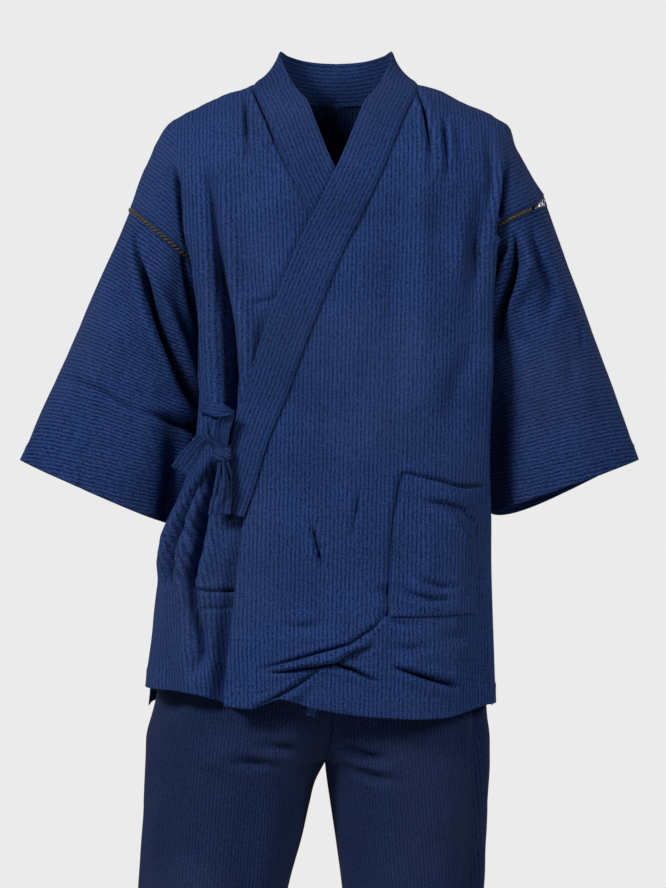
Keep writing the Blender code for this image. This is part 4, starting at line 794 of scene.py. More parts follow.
def makePanel(side, material):
    rows, frontRows, armhole = controlRows(side)
    inner = jacket["frontSpans"] + jacket["returnSpans"]
    acrossParts = partsFor(rows[:, : inner + 1].swapaxes(0, 1), jacket["acrossStep"])
    wallParts = partsFor(rows[: armhole[0], inner:].swapaxes(0, 1), jacket["acrossStep"] * 1.4)
    downParts = partsFor(rows[:4, : inner + 1], jacket["hemStep"])
    downParts += partsFor(rows[3:frontRows, : inner + 1], jacket["frontStep"])
    downParts += partsFor(rows[frontRows - 1 :, : inner + 1], jacket["backStep"])
    rowAt = np.concatenate([[0], np.cumsum(downParts)])
    columnAt = np.concatenate([[0], np.cumsum(acrossParts + wallParts)])
    last = columnAt[inner]
    # across first, then down: the underarm part has no rows beside the armhole
    wide = refinedAcross(rows, acrossParts + wallParts)
    narrow = refinedAcross(rows[:, : inner + 1], acrossParts)
    wide[armhole[0] + 1 : armhole[1]] = np.pad(
        narrow[armhole[0] + 1 : armhole[1]], ((0, 0), (0, columnAt[-1] - last), (0, 0)), mode="edge"
    )
    grid = refined(wide, downParts)
    top, bottom = rowAt[armhole[0]], rowAt[armhole[1]]
    grid[: top + 1, last + 1 :] = refined(wide[: armhole[0] + 1, last + 1 :], downParts[: armhole[0]])
    grid[bottom:, last + 1 :] = refined(wide[armhole[1] :, last + 1 :], downParts[armhole[1] :])

    arc = arcAcross(grid)
    x, drop = grid[..., 0], -grid[..., 2]
    reference = jacket["grainAt"][side] + jacket["grainLean"][side] * drop.mean(axis=1)
    zero = np.array([np.interp(r, row, a) if row[0] < r else a[0] + r - row[0]
                     for r, row, a in zip(reference, x[:, : last + 1], arc[:, : last + 1])])
    down = np.concatenate([[0], np.cumsum(np.linalg.norm(np.diff(grid[:, columnAt[5]], axis=0), axis=1))])
    uv = np.stack([arc - zero[:, None], np.broadcast_to(down[:, None], arc.shape)], axis=-1)
    ring = np.stack([arc[:, last : last + 1] - arc, uv[..., 1]], axis=-1)
    rowIndex, columnIndex = np.indices((len(grid) - 1, grid.shape[1] - 1))
    besideArmhole = (rowIndex >= top) & (rowIndex < bottom)
    keep = ~(besideArmhole & (columnIndex >= last))
    beyond = besideArmhole & (columnIndex >= columnAt[jacket["frontSpans"]])

    onFront = (np.arange(len(grid)) <= rowAt[frontRows - 1])[:, None]
    crest = columnAt[jacket["frontSpans"]]
    x, drop = x.copy(), drop.copy()
    if side == "right":
        # the hem of the under layer is drawn up behind the lap
        innerHem = jacket["innerHem"]
        (edge, width), (level, height) = innerHem["across"], innerHem["down"]
        grid[..., 2] += innerHem["rise"] * ease((edge - x) / width) * ease((drop - level) / height) * onFront
    # the folds end at the armhole's crest, and below the armhole they reach the side
    fadeRows, fadeColumns = jacket["foldFade"]
    fadeFrom = crest + (last - crest) * ease((top - np.arange(len(grid))[:, None]) / fadeRows)
    fade = 1 - ease((np.arange(grid.shape[1])[None, :] - fadeFrom) / fadeColumns)
    shapes = creaseShape(creases[side], x, drop), creaseShape(creases["back"], x, drop)
    depth, shiftAcross, shiftDown = (np.where(onFront, f, b) * fade for f, b in zip(*shapes))
    ripple = unevenness(uv[..., 0], uv[..., 1], jacket["ripple"], 3.0 + signs[side])
    ripple *= ease((last - np.arange(grid.shape[1])) / 10.0 + 0.3) * ease(np.arange(grid.shape[1]) / 8.0)
    ends = np.minimum(down, down[-1] - down)
    hemStep = 0.0007 * (1 - ease((ends - jacket["hemFold"]) / 0.002))
    hemWave = 0.0006 * np.exp(-((ends - jacket["hemFold"]) / 0.006) ** 2)[:, None] * np.sin(uv[..., 0] * 700)
    lift = 0
    if side == "left":
        lift = lapLift(x, drop) * onFront * (1 - ease((np.arange(grid.shape[1]) - crest) / 3.0))
    raised = 0.0003 + lift - depth + ripple + hemStep[:, None] + hemWave
    column = np.arange(grid.shape[1])[None, :]
    opens, closes, deep, half = jacket["armholeGap"][side]
    pastCrest = arc - arc[:, crest : crest + 1]
    gap = deep * np.exp(-(((pastCrest - 1.8 * half) / half) ** 2)) * onFront * ease((last - column) / 5.0)
    raised = raised - gap * ease((drop - opens) / 0.03) * (1 - ease((drop - closes) / 0.02))
    smoothGrid = movedOut(grid, raised, 1) * np.array([signs[side], 1, 1])
    if side == "left":
        raised = raised - pocketGroove(drop, column, columnAt)
    grid = movedOut(grid, raised, 1)
    grid[..., 0] += shiftAcross
    grid[..., 2] -= shiftDown
    grid = grid * np.array([signs[side], 1, 1])

    name = f"jacketBody{side.title()}"
    piece = clothPiece(name, grid, uv, material, wall["cloth"], flip=side == "right", keep=keep,
                       uvBeyond=ring, beyond=beyond)
    settle(piece, [f"body_panel_{side}"])
    width, length, area = jacket["flat"][side]
    return {"piece": piece, "grid": grid, "smooth": smoothGrid, "uv": uv, "rowAt": rowAt, "columnAt": columnAt,
            "sheet": dict(flat=(width, length), area=area)}


def makeSleeve(side, material):
    arm = sleeves[side]
    count = int(arm["length"] / sleeves["rowStep"])
    distance = arm["length"] * np.linspace(0, 1, count + 1)[:, None]
    turn = np.linspace(0, 2 * math.pi, sleeves["aroundSteps"] + 1)[None, :]
    distance, turn = np.broadcast_arrays(distance, turn)
    grid = sleevePoint(side, distance, turn)
    around = turn / (2 * math.pi) * sleeves["girth"]
    # lower down the ribs sag towards level, the same on the front and the back
    sag = arm["twist"] * np.minimum(around, sleeves["girth"] - around) * ease(distance / 0.30)
    uv = np.stack([distance + sag, around], axis=-1)
    depth, shiftAround, shiftDown = creaseShape(arm["creases"], around, distance)
    slid = sleevePoint(side, distance + shiftDown * ease(distance / 0.03),
                       turn + shiftAround * 2 * math.pi / sleeves["girth"]) - grid
    circle = np.stack([np.cos(turn), np.sin(turn)], axis=-1) * 0.073
    ripple = unevenness(circle[..., 0], circle[..., 1] + distance * 0.35, sleeves["ripple"], 11.0 + signs[side])
    ripple *= ease(distance / 0.04)
    rim = arm["length"] - distance
    hemStep = 0.0006 * (1 - ease((rim - sleeves["hemFold"]) / 0.002))
    hemWave = 0.0005 * np.exp(-(((rim - sleeves["hemFold"]) / 0.005) ** 2)) * np.sin(around * 700)
    raised = ripple + hemStep + hemWave - depth - 0.0003
    padded = np.concatenate([grid[:, -2:-1], grid, grid[:, 1:2]], axis=1)
    raised = np.concatenate([raised[:, -2:-1], raised, raised[:, 1:2]], axis=1)
    grid = movedOut(padded, raised, signs[side])[:, 1:-1] + slid
    grid[:, -1] = grid[:, 0]
    piece = clothPiece(f"sleeve{side.title()}", grid, uv, material, wall["cloth"],
                       flip=side == "right", inwards=True, weld=True)
    settle(piece, [f"sleeve_{side}"])
    return {"piece": piece, "grid": grid, "uv": uv, "sheet": dict(flat=sleeves["flat"])}


# ---- lacing between shoulders and sleeves ----

lacing = {
    "threadRadius": 0.00050, "railRadius": 0.0012, "coreRadius": 0.0015, "coreTurns": 34,
    # how many crossings go round, and how far from the top fold the gap stands open
    "left": {"cells": 34, "open": 1.05}, "right": {"cells": 62, "open": 0.10},
}


def makeLacing(side, threadMaterial, coreMaterial):
    # Two rails sewn along the edges, dark threads crossing between them, and where the gap is narrow
    # a brown twisted core under the crossings. Everything thins out where the gap stands open.
    cells, opened = lacing[side]["cells"], lacing[side]["open"]
    turns = np.linspace(0, 2 * math.pi, cells + 1)
    fine = np.linspace(0, 2 * math.pi, 373)
    down = leaning(side, sleeves[side]["lean"])
    seam = jacket["seam"]
    upper = capEdge(side, turns) + down * 2 * seam
    lower = sleevePoint(side, 0.0, turns) - down * 2 * seam
    out = unit(np.cross(np.gradient(capEdge(side, fine), axis=0), down)) * signs[side]
    outAt = np.stack([np.interp(turns, fine, out[:, k]) for k in range(3)], axis=-1)
    fromTop = np.minimum(fine, 2 * math.pi - fine)
    closed = 0.55 + 0.45 * ease((fromTop - opened) / 0.15 + 0.5)
    lines, scales = [], []
    for k in range(cells):
        for a, b, level in ((upper[k], lower[k + 1], 1), (lower[k], upper[k + 1], -1)):
            t = np.linspace(0, 1, 7)[:, None]
            bulge = np.sin(t * math.pi) * level * lacing["threadRadius"] * 1.3
            lines.append(a + (b - a) * t + outAt[k] * (bulge - 0.0002))
            scales.append(np.full(7, 0.6 + 0.4 * np.interp(turns[k], fine, closed)))
    name = f"sleeveLacing{side.title()}"
    threads = threadRun(name, lines, lacing["threadRadius"], threadMaterial, scales=scales)
    edges = []
    for line, way in ((capEdge(side, fine), 1), (sleevePoint(side, 0.0, fine), -1)):
        edges.append(line + down * way * 0.0006 - out * 0.0004)
    rails = threadRun(f"lacingRails{side.title()}", edges, lacing["railRadius"], threadMaterial, 2, [closed] * 2)
    middle = (capEdge(side, fine) + sleevePoint(side, 0.0, fine)) / 2 - out * 0.0006
    twist = fine * lacing["coreTurns"]
    kept = fromTop > opened
    strands = []
    for start in (0, math.pi):
        around = np.cos(twist + start)[:, None] * down + np.sin(twist + start)[:, None] * out
        strands.append((middle + around * lacing["coreRadius"])[kept])
    core = threadRun(f"lacingCore{side.title()}", strands, lacing["coreRadius"], coreMaterial, 2)
    nodes = [f"sleeve_lacing_{side}_{face}" for face in ("front", "back")]
    settle(threads, nodes)
    for extra in (rails, core):
        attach(extra, "root")
    return threads


# ---- collar band ----

collar = {
    "thickness": 0.0020, "laid": 0.0018, "sunk": 0.0005, "across": 18, "step": 0.0034, "hiddenRows": 13,
    "flat": (0.052, 1.37), "pucker": ((0.050, 0.012, 0.0007), (0.03, 0.05, 0.0012)),
    "backEdge": table(
        "turn   x       y       z      bow",
        (90.00, 0.0000, 0.0640, 0.0550, 0.004),
        (72.00, 0.0204, 0.0620, 0.0556, 0.0045),
        (55.00, 0.0380, 0.0570, 0.0570, 0.005),
        (28.00, 0.0590, 0.0370, 0.0600, 0.005),
        (0.000, 0.0690, 0.0080, 0.0610, 0.005),
    ),
    "frontEdge": table(
        "drop    x       y       z      bow",
        (-0.0145, 0.0672, -0.0190, 0.0470, 0.003),
        (-0.0080, 0.0590, -0.0480, 0.0240, 0.000),
        (0.0100, 0.0480, -0.0780, 0.0020, 0.000),
    ),
    "width": table(
        "drop   width",
        (0.030, 0.0500), (0.300, 0.0500), (0.380, 0.0470), (0.425, 0.0420), (0.467, 0.0330), (0.520, 0.0120),
    ),
    "drops": (0.034, 0.057, 0.080, 0.102, 0.125, 0.150, 0.180, 0.212, 0.250, 0.290, 0.330, 0.370, 0.405,
              0.440, 0.475, 0.518),
}


def lifted(pointAt, a, b, lift, step=0.002):
    here = pointAt(a, b)
    normal = unit(np.cross(pointAt(a, b + step) - here, pointAt(a + step, b) - here))
    return here + normal * np.asarray(lift)[..., None]


def collarRows(side, count):  # rows of five points across the band, from the back centre down one front
    across = np.linspace(0, 1, 5)[:, None]
    lift = jacket["solidWall"] + collar["laid"]
    sewn = collar["thickness"] - collar["sunk"]  # the seam edge sinks into the body round the neck
    edges = []
    for turn, *free, bow in zip(*collar["backEdge"].values()):
        x = jacket["neck"] * math.cos(math.radians(turn))
        share = 1 - (jacket["neckBack"] + 0.02) * math.sin(math.radians(turn))
        seam = lifted(lambda a, b: shoulderPoint(side, np.array([a]), 1 - b, "back")[0], x, 1 - share, -sewn)
        edges.append((seam, np.array(free), bow))
    for drop, *free, bow in zip(*collar["frontEdge"].values()):
        off = lift if drop > 0 else sewn
        seam = lifted(lambda a, b: frontSurface(side, a, b), float(seamX(drop)), drop, off)
        edges.append((seam, np.array(free), bow))
    rows = []
    for seam, free, bow in edges:
        inwards = unit(np.array([-seam[0], -seam[1], -math.hypot(seam[0], seam[1])]))
        rows.append(seam + (free - seam) * across + inwards * bow * 4 * across * (1 - across))
    for drop in collar["drops"][:count]:
        x = float(seamX(drop))
        wide = float(smooth(collar["width"]["drop"], collar["width"]["width"], drop))
        inward = unit(np.array([-0.004, float(seamX(drop + 0.004)) - x])) * wide
        xs, drops = x + inward[0] * across[:, 0], drop + inward[1] * across[:, 0]
        lap = lapLift(xs, drops) if side == "left" else 0
        rows.append(lifted(lambda a, b: frontSurface(side, a, b), xs, drops, lift + lap))
    return np.array(rows)


def evenly(rows, count):  # the rows again, spaced evenly along the middle of the strip
    middle = rows[:, rows.shape[1] // 2]
    along = np.concatenate([[0], np.cumsum(np.linalg.norm(np.diff(middle, axis=0), axis=1))])
    at = np.linspace(0, along[-1], count)
    lines = [[smooth(along, rows[:, j, k], at) for k in range(3)] for j in range(rows.shape[1])]
    return np.array(lines).transpose(2, 0, 1)


def makeCollar(material):
    left = collarRows("left", len(collar["drops"]))
    right = collarRows("right", collar["hiddenRows"]) * np.array([-1, 1, 1])
    lengths = [np.linalg.norm(np.diff(r[:, 2], axis=0), axis=1).sum() for r in (right, left)]
    right, left = (evenly(r, int(n / collar["step"])) for r, n in zip((right, left), lengths))
    rows = np.concatenate([right[::-1], left[1:]])
    grid = refinedAcross(rows, [collar["across"] // 4 + (k in (0, 3)) for k in range(4)])
    arc = arcAcross(grid)
    along = np.concatenate([[0], np.cumsum(np.linalg.norm(np.diff(grid[:, 9], axis=0), axis=1))])
    uv = np.stack([arc, np.broadcast_to(along[:, None], arc.shape)], axis=-1)
    width = arc[:, -1:]
    seamPress = 0.0007 * np.exp(-(((arc - 0.0022) / 0.0014) ** 2))
    edgeRoll = 0.0006 * (np.exp(-((arc / 0.0012) ** 2)) + np.exp(-(((width - arc) / 0.0012) ** 2)))
    pucker = unevenness(uv[..., 0], uv[..., 1], collar["pucker"], 23.0)
    pucker *= ease((width - arc) / 0.02 + 0.2) * ease(arc / 0.008)
    grid = movedOut(grid, pucker * 0.8 - seamPress - edgeRoll, 1)
    piece = clothPiece("collarBand", grid, uv, material, collar["thickness"])
    rim = piece.modifiers.new("rim", "BEVEL")
    rim.width = 0.0006
    rim.segments = 2
    rim.limit_method = "ANGLE"
    rim.angle_limit = math.radians(60)
    bpy.ops.object.modifier_apply(modifier="rim")
    bpy.ops.object.shade_smooth()
    settle(piece, ["collar_band"])
    return {"piece": piece, "grid": grid, "uv": uv, "sheet": dict(flat=collar["flat"])}


# ---- patch pocket ----

def makePocket(body, material):
    hemRow = len(jacket["frontDrops"]) - 1
    first = body["rowAt"][hemRow - jacket["frontDrops"].index(pocket["bottom"])]
    last = body["rowAt"][hemRow - jacket["frontDrops"].index(pocket["top"])]
    start, end = (body["columnAt"][c] for c in (jacket["pocketColumn"], jacket["frontSpans"]))
    front = body["smooth"]
    patch = movedOut(front, np.full(front.shape[:2], pocket["off"]), 1)[first : last + 1, start : end + 1]
    acrossGrain = body["uv"][first : last + 1, start : end + 1, 0] + 0.0021
    share = np.linspace(0, 1, patch.shape[1])
    rowShare = np.linspace(0, 1, patch.shape[0])
    sag = smooth(pocket["sag"]["share"], pocket["sag"]["down"], share)
    lowered = rowShare[:, None] ** 2 * sag[None, :]
    source = patch.copy()
    height = patch[..., 2]
    for c in range(patch.shape[1]):
        want = height[:, c] - lowered[:, c]
        for k in range(3):
            patch[:, c, k] = np.interp(want, height[:, c], source[:, c, k])
    x, drop = patch[..., 0], -patch[..., 2]
    inside = ease(share / 0.06) * ease((1 - share) / 0.06)
    inside = inside[None, :] * ease(rowShare / 0.05)[:, None]
    upAndDown = np.sin(math.pi * np.minimum(rowShare * 0.9 + 0.1, 1))[:, None]
    belly = 0.0035 * np.sin(math.pi * share)[None, :] * upAndDown
    fromMouth = patch[-1:, :, 2] - patch[..., 2]
    hem = 0.0010 * (1 - ease((fromMouth - pocket["mouthHem"]) / 0.002))
    hem = hem - 0.0014 * np.exp(-(((fromMouth - pocket["mouthHem"]) / 0.0028) ** 2))
    raised = (belly - creaseShape(pocket["creases"], x, drop)[0]) * inside + hem
    gape = 0.0030 * ease((rowShare - 0.75) / 0.25)[:, None] * np.sin(math.pi * share)[None, :]
    edge = 0.0005 * (1 - ease(share / 0.03)) + 0.0005 * (1 - ease((1 - share) / 0.03))
    grid = movedOut(patch, raised + gape - edge[None, :], 1)
    uv = np.stack([acrossGrain, -drop], axis=-1)
    piece = clothPiece("patchPocket", grid, uv, material, wall["cloth"])
    settle(piece, ["pocket"])
    return {"piece": piece, "grid": grid, "uv": uv, "sheet": dict(flat=pocket["flat"])}


# ---- side tie ----

tie = {
    "tape": 0.0016, "across": 14, "step": 0.0013, "ribbon": 0.020,
    "knot": {"x": -0.1357, "y": -0.1350, "drop": 0.4423, "width": 0.0224, "height": 0.0175, "depth": 0.015},
    "side": {"top": 0.422, "bottom": 0.442, "off": 0.0010, "flat": (0.0205, 0.125)},
    # each tape is drawn by its two edges, from the knot outwards; creases run (across, along, half, depth)
    "tapes": {
        "tie_loop": {"flat": (0.020, 0.15), "cup": 0.0008, "rows": table(
            "x1      y1       drop1   x2       y2       drop2",
            (-0.1395, -0.1385, 0.4369, -0.1341, -0.1385, 0.4364),
            (-0.1512, -0.1405, 0.4246, -0.1381, -0.1405, 0.4299),
            (-0.1594, -0.1425, 0.4176, -0.1417, -0.1425, 0.4198),
            (-0.1605, -0.1435, 0.4069, -0.1409, -0.1435, 0.4080),
            (-0.1607, -0.1430, 0.3962, -0.1401, -0.1430, 0.3967),
            (-0.1608, -0.1445, 0.3882, -0.1435, -0.1445, 0.3850),
            (-0.1632, -0.1480, 0.3911, -0.1572, -0.1480, 0.3816),
            (-0.1550, -0.1500, 0.3939, -0.1518, -0.1500, 0.3800),
            (-0.1453, -0.1515, 0.3974, -0.1431, -0.1515, 0.3800),
            (-0.1346, -0.1520, 0.3968, -0.1346, -0.1520, 0.3830),
            (-0.1277, -0.1510, 0.3950, -0.1282, -0.1510, 0.3867),
            (-0.1232, -0.1480, 0.3937, -0.1222, -0.1480, 0.3920),
            (-0.1339, -0.1440, 0.3967, -0.1217, -0.1440, 0.3951),
            (-0.1395, -0.1430, 0.4037, -0.1241, -0.1430, 0.4058),
            (-0.1363, -0.1420, 0.4198, -0.1282, -0.1420, 0.4198),
            (-0.1352, -0.1385, 0.4358, -0.1296, -0.1385, 0.4358),
        ), "creases": [
            [(0.008, 0.004, .0015, .001), (0.010, 0.022, .002, .003), (0.011, 0.040, .002, 0)],
            [(0.014, 0.006, .0015, .001), (0.014, 0.016, .0015, .002), (0.015, 0.026, .002, 0)],
        ]},
        "tie_end_side": {"flat": (0.020, 0.068), "cup": 0.0010, "rows": table(
            "x1      y1       drop1   x2       y2       drop2",
            (-0.1412, -0.1375, 0.4337, -0.1406, -0.1375, 0.4401),
            (-0.1514, -0.1360, 0.4251, -0.1482, -0.1360, 0.4353),
            (-0.1623, -0.1340, 0.4192, -0.1556, -0.1340, 0.4307),
            (-0.1797, -0.1300, 0.4337, -0.1674, -0.1300, 0.4488),
            (-0.1979, -0.1240, 0.4569, -0.1812, -0.1240, 0.4672),
        ), "creases": [[(0.010, 0.004, .002, .002), (0.012, 0.030, .003, .001), (0.012, 0.050, .003, 0)]]},
        "tie_end_front": {"flat": (0.034, 0.071), "cup": 0.0012, "rows": table(
            "x1      y1       drop1   x2       y2       drop2",
            (-0.1395, -0.1385, 0.4477, -0.1288, -0.1385, 0.4466),
            (-0.1406, -0.1425, 0.4562, -0.1269, -0.1425, 0.4551),
            (-0.1419, -0.1435, 0.4690, -0.1255, -0.1435, 0.4680),
            (-0.1440, -0.1430, 0.4841, -0.1245, -0.1430, 0.4830),
            (-0.1495, -0.1425, 0.4991, -0.1248, -0.1425, 0.4991),
            (-0.1525, -0.1400, 0.5147, -0.1263, -0.1400, 0.5141),
        ), "creases": [
            [(0.0095, 0.003, .0018, .004), (0.0105, 0.020, .0026, .012), (0.0115, 0.034, .0036, .013),
             (0.0115, 0.044, .003, .006), (0.008, 0.056, .003, .002), (0.006, 0.066, .003, 0)],
            [(0.0040, 0.004, .0015, .002), (0.0045, 0.018, .0018, .005), (0.0040, 0.034, .002, 0)],
        ]},
        "tie_front": {"flat": (0.020, 0.036), "cup": 0.0004, "rows": table(
            "x1      y1       drop1   x2       y2       drop2",
            (-0.1400, -0.1350, 0.4370, -0.1400, -0.1350, 0.4450),
            (-0.1300, -0.1260, 0.4320, -0.1300, -0.1260, 0.4450),
            (-0.1215, -0.1218, 0.4265, -0.1215, -0.1218, 0.4425),
            (-0.1140, -0.1222, 0.4225, -0.1140, -0.1222, 0.4405),
            (-0.1060, -0.1240, 0.4205, -0.1060, -0.1240, 0.4395),
        ), "creases": []},
    },
}


def makeTape(settings, seed):
    # Ribs run along the tape and close up where it is gathered.
    rows, knots = settings["rows"], np.arange(len(settings["rows"]["x1"]), dtype=float)
    edges = [np.stack([rows["x" + k], rows["y" + k], -rows["drop" + k]], axis=-1) for k in "12"]
    length = np.linalg.norm(np.diff(edges[0] + edges[1], axis=0), axis=1).sum() / 2
    at = np.linspace(0, knots[-1], int(length / tie["step"]) + 1)
    edges = [np.stack([smooth(knots, edge[:, k], at) for k in range(3)], axis=-1) for edge in edges]
    share = np.linspace(0, 1, tie["across"] + 1)
    grid = edges[0][:, None] * (1 - share)[:, None] + edges[1][:, None] * share[:, None]
    spine = np.linalg.norm(np.diff(grid[:, tie["across"] // 2], axis=0), axis=1)
    along = np.concatenate([[0], np.cumsum(spine)])
    u, v = np.meshgrid(share * tie["ribbon"], along)
    raised = settings["cup"] * 4 * u / tie["ribbon"] * (1 - u / tie["ribbon"])
    raised += unevenness(u, v, ((0.008, 0.014, 0.0016), (0.0035, 0.006, 0.0006)), seed)
    raised += 0.0004 * (np.abs(u / tie["ribbon"] - 0.5) > 0.4) - creaseShape(settings["creases"], u, v)[0]
    return movedOut(grid, raised, 1), np.stack([u, v], axis=-1)


def makeTie(body, material):
    parts = {}
    rows, columns = body["rowAt"], body["columnAt"]
    start = columns[jacket["frontSpans"] - 1]
    off = (jacket["solidWall"] + tie["side"]["off"]) * np.ones(body["smooth"].shape[:2])
    off -= 0.009 * (1 - ease((np.arange(off.shape[1]) - start) / 7.0))
    outer = movedOut(body["smooth"], off, -1)
    lines = outer[: rows[len(jacket["frontDrops"])], start:]
    drops = np.linspace(tie["side"]["bottom"], tie["side"]["top"], 11)
    strip = np.array([[[np.interp(-d, lines[:, c, 2], lines[:, c, k]) for k in range(3)]
                       for c in range(lines.shape[1])] for d in drops])
    arc = arcAcross(strip)
    uv = np.stack([np.broadcast_to(drops[:, None], arc.shape), arc], axis=-1)
    piece = clothPiece("tieSide", strip, uv, material, tie["tape"], flip=True)
    settle(piece, ["tie_side"])
    parts["tieSide"] = {"piece": piece, "sheet": dict(flat=tie["side"]["flat"])}
    for seed, (node, settings) in enumerate(tie["tapes"].items()):
        grid, uv = makeTape(settings, 31.0 + seed)
        name = "".join(w.title() if i else w for i, w in enumerate(node.split("_")))
        piece = clothPiece(name, grid, uv, material, tie["tape"])
        settle(piece, [node])
        parts[name] = {"piece": piece, "sheet": dict(flat=settings["flat"])}
    makeKnot(material)
    return parts


def makeKnot(material):
    # The knot: a round-cornered lump with the tape's diagonal wraps pressed into it.
    knot = tie["knot"]
    bpy.ops.object.select_all(action="DESELECT")
    bpy.ops.mesh.primitive_uv_sphere_add(segments=48, ring_count=32, radius=1)
    piece = bpy.context.object
    piece.name = piece.data.name = "tieKnot"
    points = np.empty(len(piece.data.vertices) * 3)
    piece.data.vertices.foreach_get("co", points)
    points = points.reshape(-1, 3)
    box = np.abs(points).max(axis=1, keepdims=True)
    points = points * (0.35 + 0.65 / np.maximum(box, 0.6))
    slant = points[:, 2] * 1.0 + points[:, 0] * 0.45
    wraps = -0.16 * np.exp(-(((slant - 0.38) / 0.10) ** 2)) - 0.16 * np.exp(-(((slant + 0.42) / 0.10) ** 2))
    wraps += -0.08 * np.exp(-(((slant + 0.05) / 0.08) ** 2))
    rough = unevenness(points[:, 0] + 2 * points[:, 1], points[:, 2] - points[:, 1], ((0.5, 0.5, 0.10),), 41.0)
    half = np.array([knot["width"], knot["depth"], knot["height"]]) / 2
    points = points * (1.0 + wraps + rough)[:, None] * half + np.array([knot["x"], knot["y"], -knot["drop"]])
    piece.data.vertices.foreach_set("co", points.reshape(-1))
    at = np.empty(len(piece.data.loops), int)
    piece.data.loops.foreach_get("vertex_index", at)
    grain = np.stack([points[:, 2] + 0.45 * points[:, 0], points[:, 0]], axis=-1)[at]
    piece.data.uv_layers[0].data.foreach_set("uv", grain.reshape(-1))
    piece.data.update()
    bpy.ops.object.shade_smooth()
    piece.data.materials.append(material)
    settle(piece, ["tie_knot"])


# ---- trousers ----

trousers = {
    "ripple": ((0.05, 0.20, 0.0030), (0.018, 0.05, 0.0012)),
    "rowStep": 0.0044, "aroundStep": 0.0044, "crotch": 0.829, "spans": 18, "hemFold": 0.024, "girth": 0.58,
    "grainLean": 0.08, "grainAt": 0.090, "flat": (0.56, 0.615),
    "form": table(
        "drop   innerLeft innerRight outerLeft outerRight front  back   parted",
        (0.495, -0.0030, -0.0030, 0.152, -0.160, 0.100, 0.098, 0.00),
        (0.520, -0.0030, -0.0030, 0.164, -0.175, 0.107, 0.106, 0.00),
        (0.580, -0.0030, -0.0030, 0.173, -0.192, 0.112, 0.112, 0.03),
        (0.660, -0.0030, -0.0030, 0.179, -0.207, 0.115, 0.117, 0.10),
        (0.720, -0.0030, -0.0030, 0.184, -0.219, 0.116, 0.118, 0.24),
        (0.755, -0.0035, -0.0035, 0.188, -0.226, 0.116, 0.117, 0.42),
        (0.790, -0.0070, -0.0070, 0.193, -0.236, 0.114, 0.114, 0.68),
        (0.812, -0.0115, -0.0115, 0.193, -0.238, 0.112, 0.111, 0.87),
        (0.829, -0.0140, -0.0145, 0.1925, -0.239, 0.110, 0.109, 1.00),
        (0.850, -0.0115, -0.0255, 0.191, -0.240, 0.108, 0.106, 1.00),
        (0.900, -0.0040, -0.0370, 0.188, -0.2430, 0.104, 0.102, 1.00),
        (0.985, 0.0075, -0.0600, 0.184, -0.2475, 0.098, 0.098, 1.00),
        (1.050, 0.0140, -0.0730, 0.181, -0.2520, 0.095, 0.096, 1.00),
        (1.110, 0.0190, -0.0820, 0.178, -0.2560, 0.094, 0.095, 1.00),
    ),
    "drops": (0.495, 0.520, 0.580, 0.640, 0.690, 0.730, 0.765, 0.795, 0.815, 0.829, 0.850, 0.880, 0.920,
              0.970, 1.020, 1.070, 1.110),
    # folds on the front of each leg as (x, drop, half width, depth), and on the back
    "creases": {
        "left": [
            [(0.004, 0.792, .005, 0), (0.012, 0.798, .006, .008), (0.0337, 0.807, .006, .010),
             (0.0686, 0.814, .007, 0)],
            [(0.016, 0.826, .005, 0), (0.045, 0.833, .006, .008), (0.0867, 0.8394, .007, 0)],
            [(0.1725, 0.700, .006, .002), (0.1700, 0.800, .005, .005), (0.1680, 0.950, .005, .005),
             (0.1650, 1.10, .006, .004)],
            [(0.181, 0.700, .006, 0), (0.180, 0.800, .006, -.004), (0.177, 0.950, .006, -.004),
             (0.174, 1.10, .007, -.003)],
            [(0.080, 0.860, .014, 0), (0.086, 0.960, .018, .004), (0.084, 1.070, .018, .002)],
            [(0.030, 0.880, .014, 0), (0.040, 0.970, .016, .004), (0.046, 1.060, .016, .001)],
        ],
        "right": [
            [(-0.035, 0.798, .005, 0), (-0.060, 0.797, .006, .008), (-0.105, 0.794, .007, 0)],
            [(-0.064, 0.817, .005, 0), (-0.100, 0.816, .006, .007), (-0.140, 0.813, .007, 0)],
            [(-0.100, 0.830, .012, 0), (-0.140, 0.835, .014, .003), (-0.180, 0.825, .014, 0)],
            [(-0.110, 0.900, .014, 0), (-0.120, 0.990, .018, .003), (-0.128, 1.080, .018, 0)],
            [(-0.190, 0.720, .012, 0), (-0.196, 0.850, .014, .003), (-0.206, 1.000, .014, 0)],
        ],
        "back": [
            [(0.020, 0.790, .010, 0), (0.060, 0.820, .012, .005), (0.120, 0.810, .014, 0)],
            [(0.060, 0.700, .020, 0), (0.080, 0.800, .020, .004), (0.100, 0.860, .018, 0)],
            [(0.080, 0.880, .016, 0), (0.090, 0.980, .018, .005), (0.096, 1.080, .018, .002)],
            [(0.150, 0.840, .012, 0), (0.154, 0.960, .014, .004), (0.156, 1.060, .014, 0)],
        ],
    },
}


def trouserRow(side, drop):
    form = trousers["form"]
    read = {c: float(smooth(form["drop"], form[c], drop)) for c in form if c != "drop"}
    parted = min(max(read["parted"], 0), 1) if drop < trousers["crotch"] else 1.0
    inner, outer = read["inner" + side.title()] + signs[side] * jacket["seam"] / 2, read["outer" + side.title()]
    half = (outer - inner) / (1 + parted)
    start = math.acos(-parted)
    angle = np.linspace(-start, start, trousers["spans"] + 1)
    deep = np.where(angle < 0, read["front"], read["back"])
    x = inner + half * parted + half * np.cos(angle)
    return np.stack([x, deep * np.sin(angle), np.full_like(x, -drop)], axis=-1)


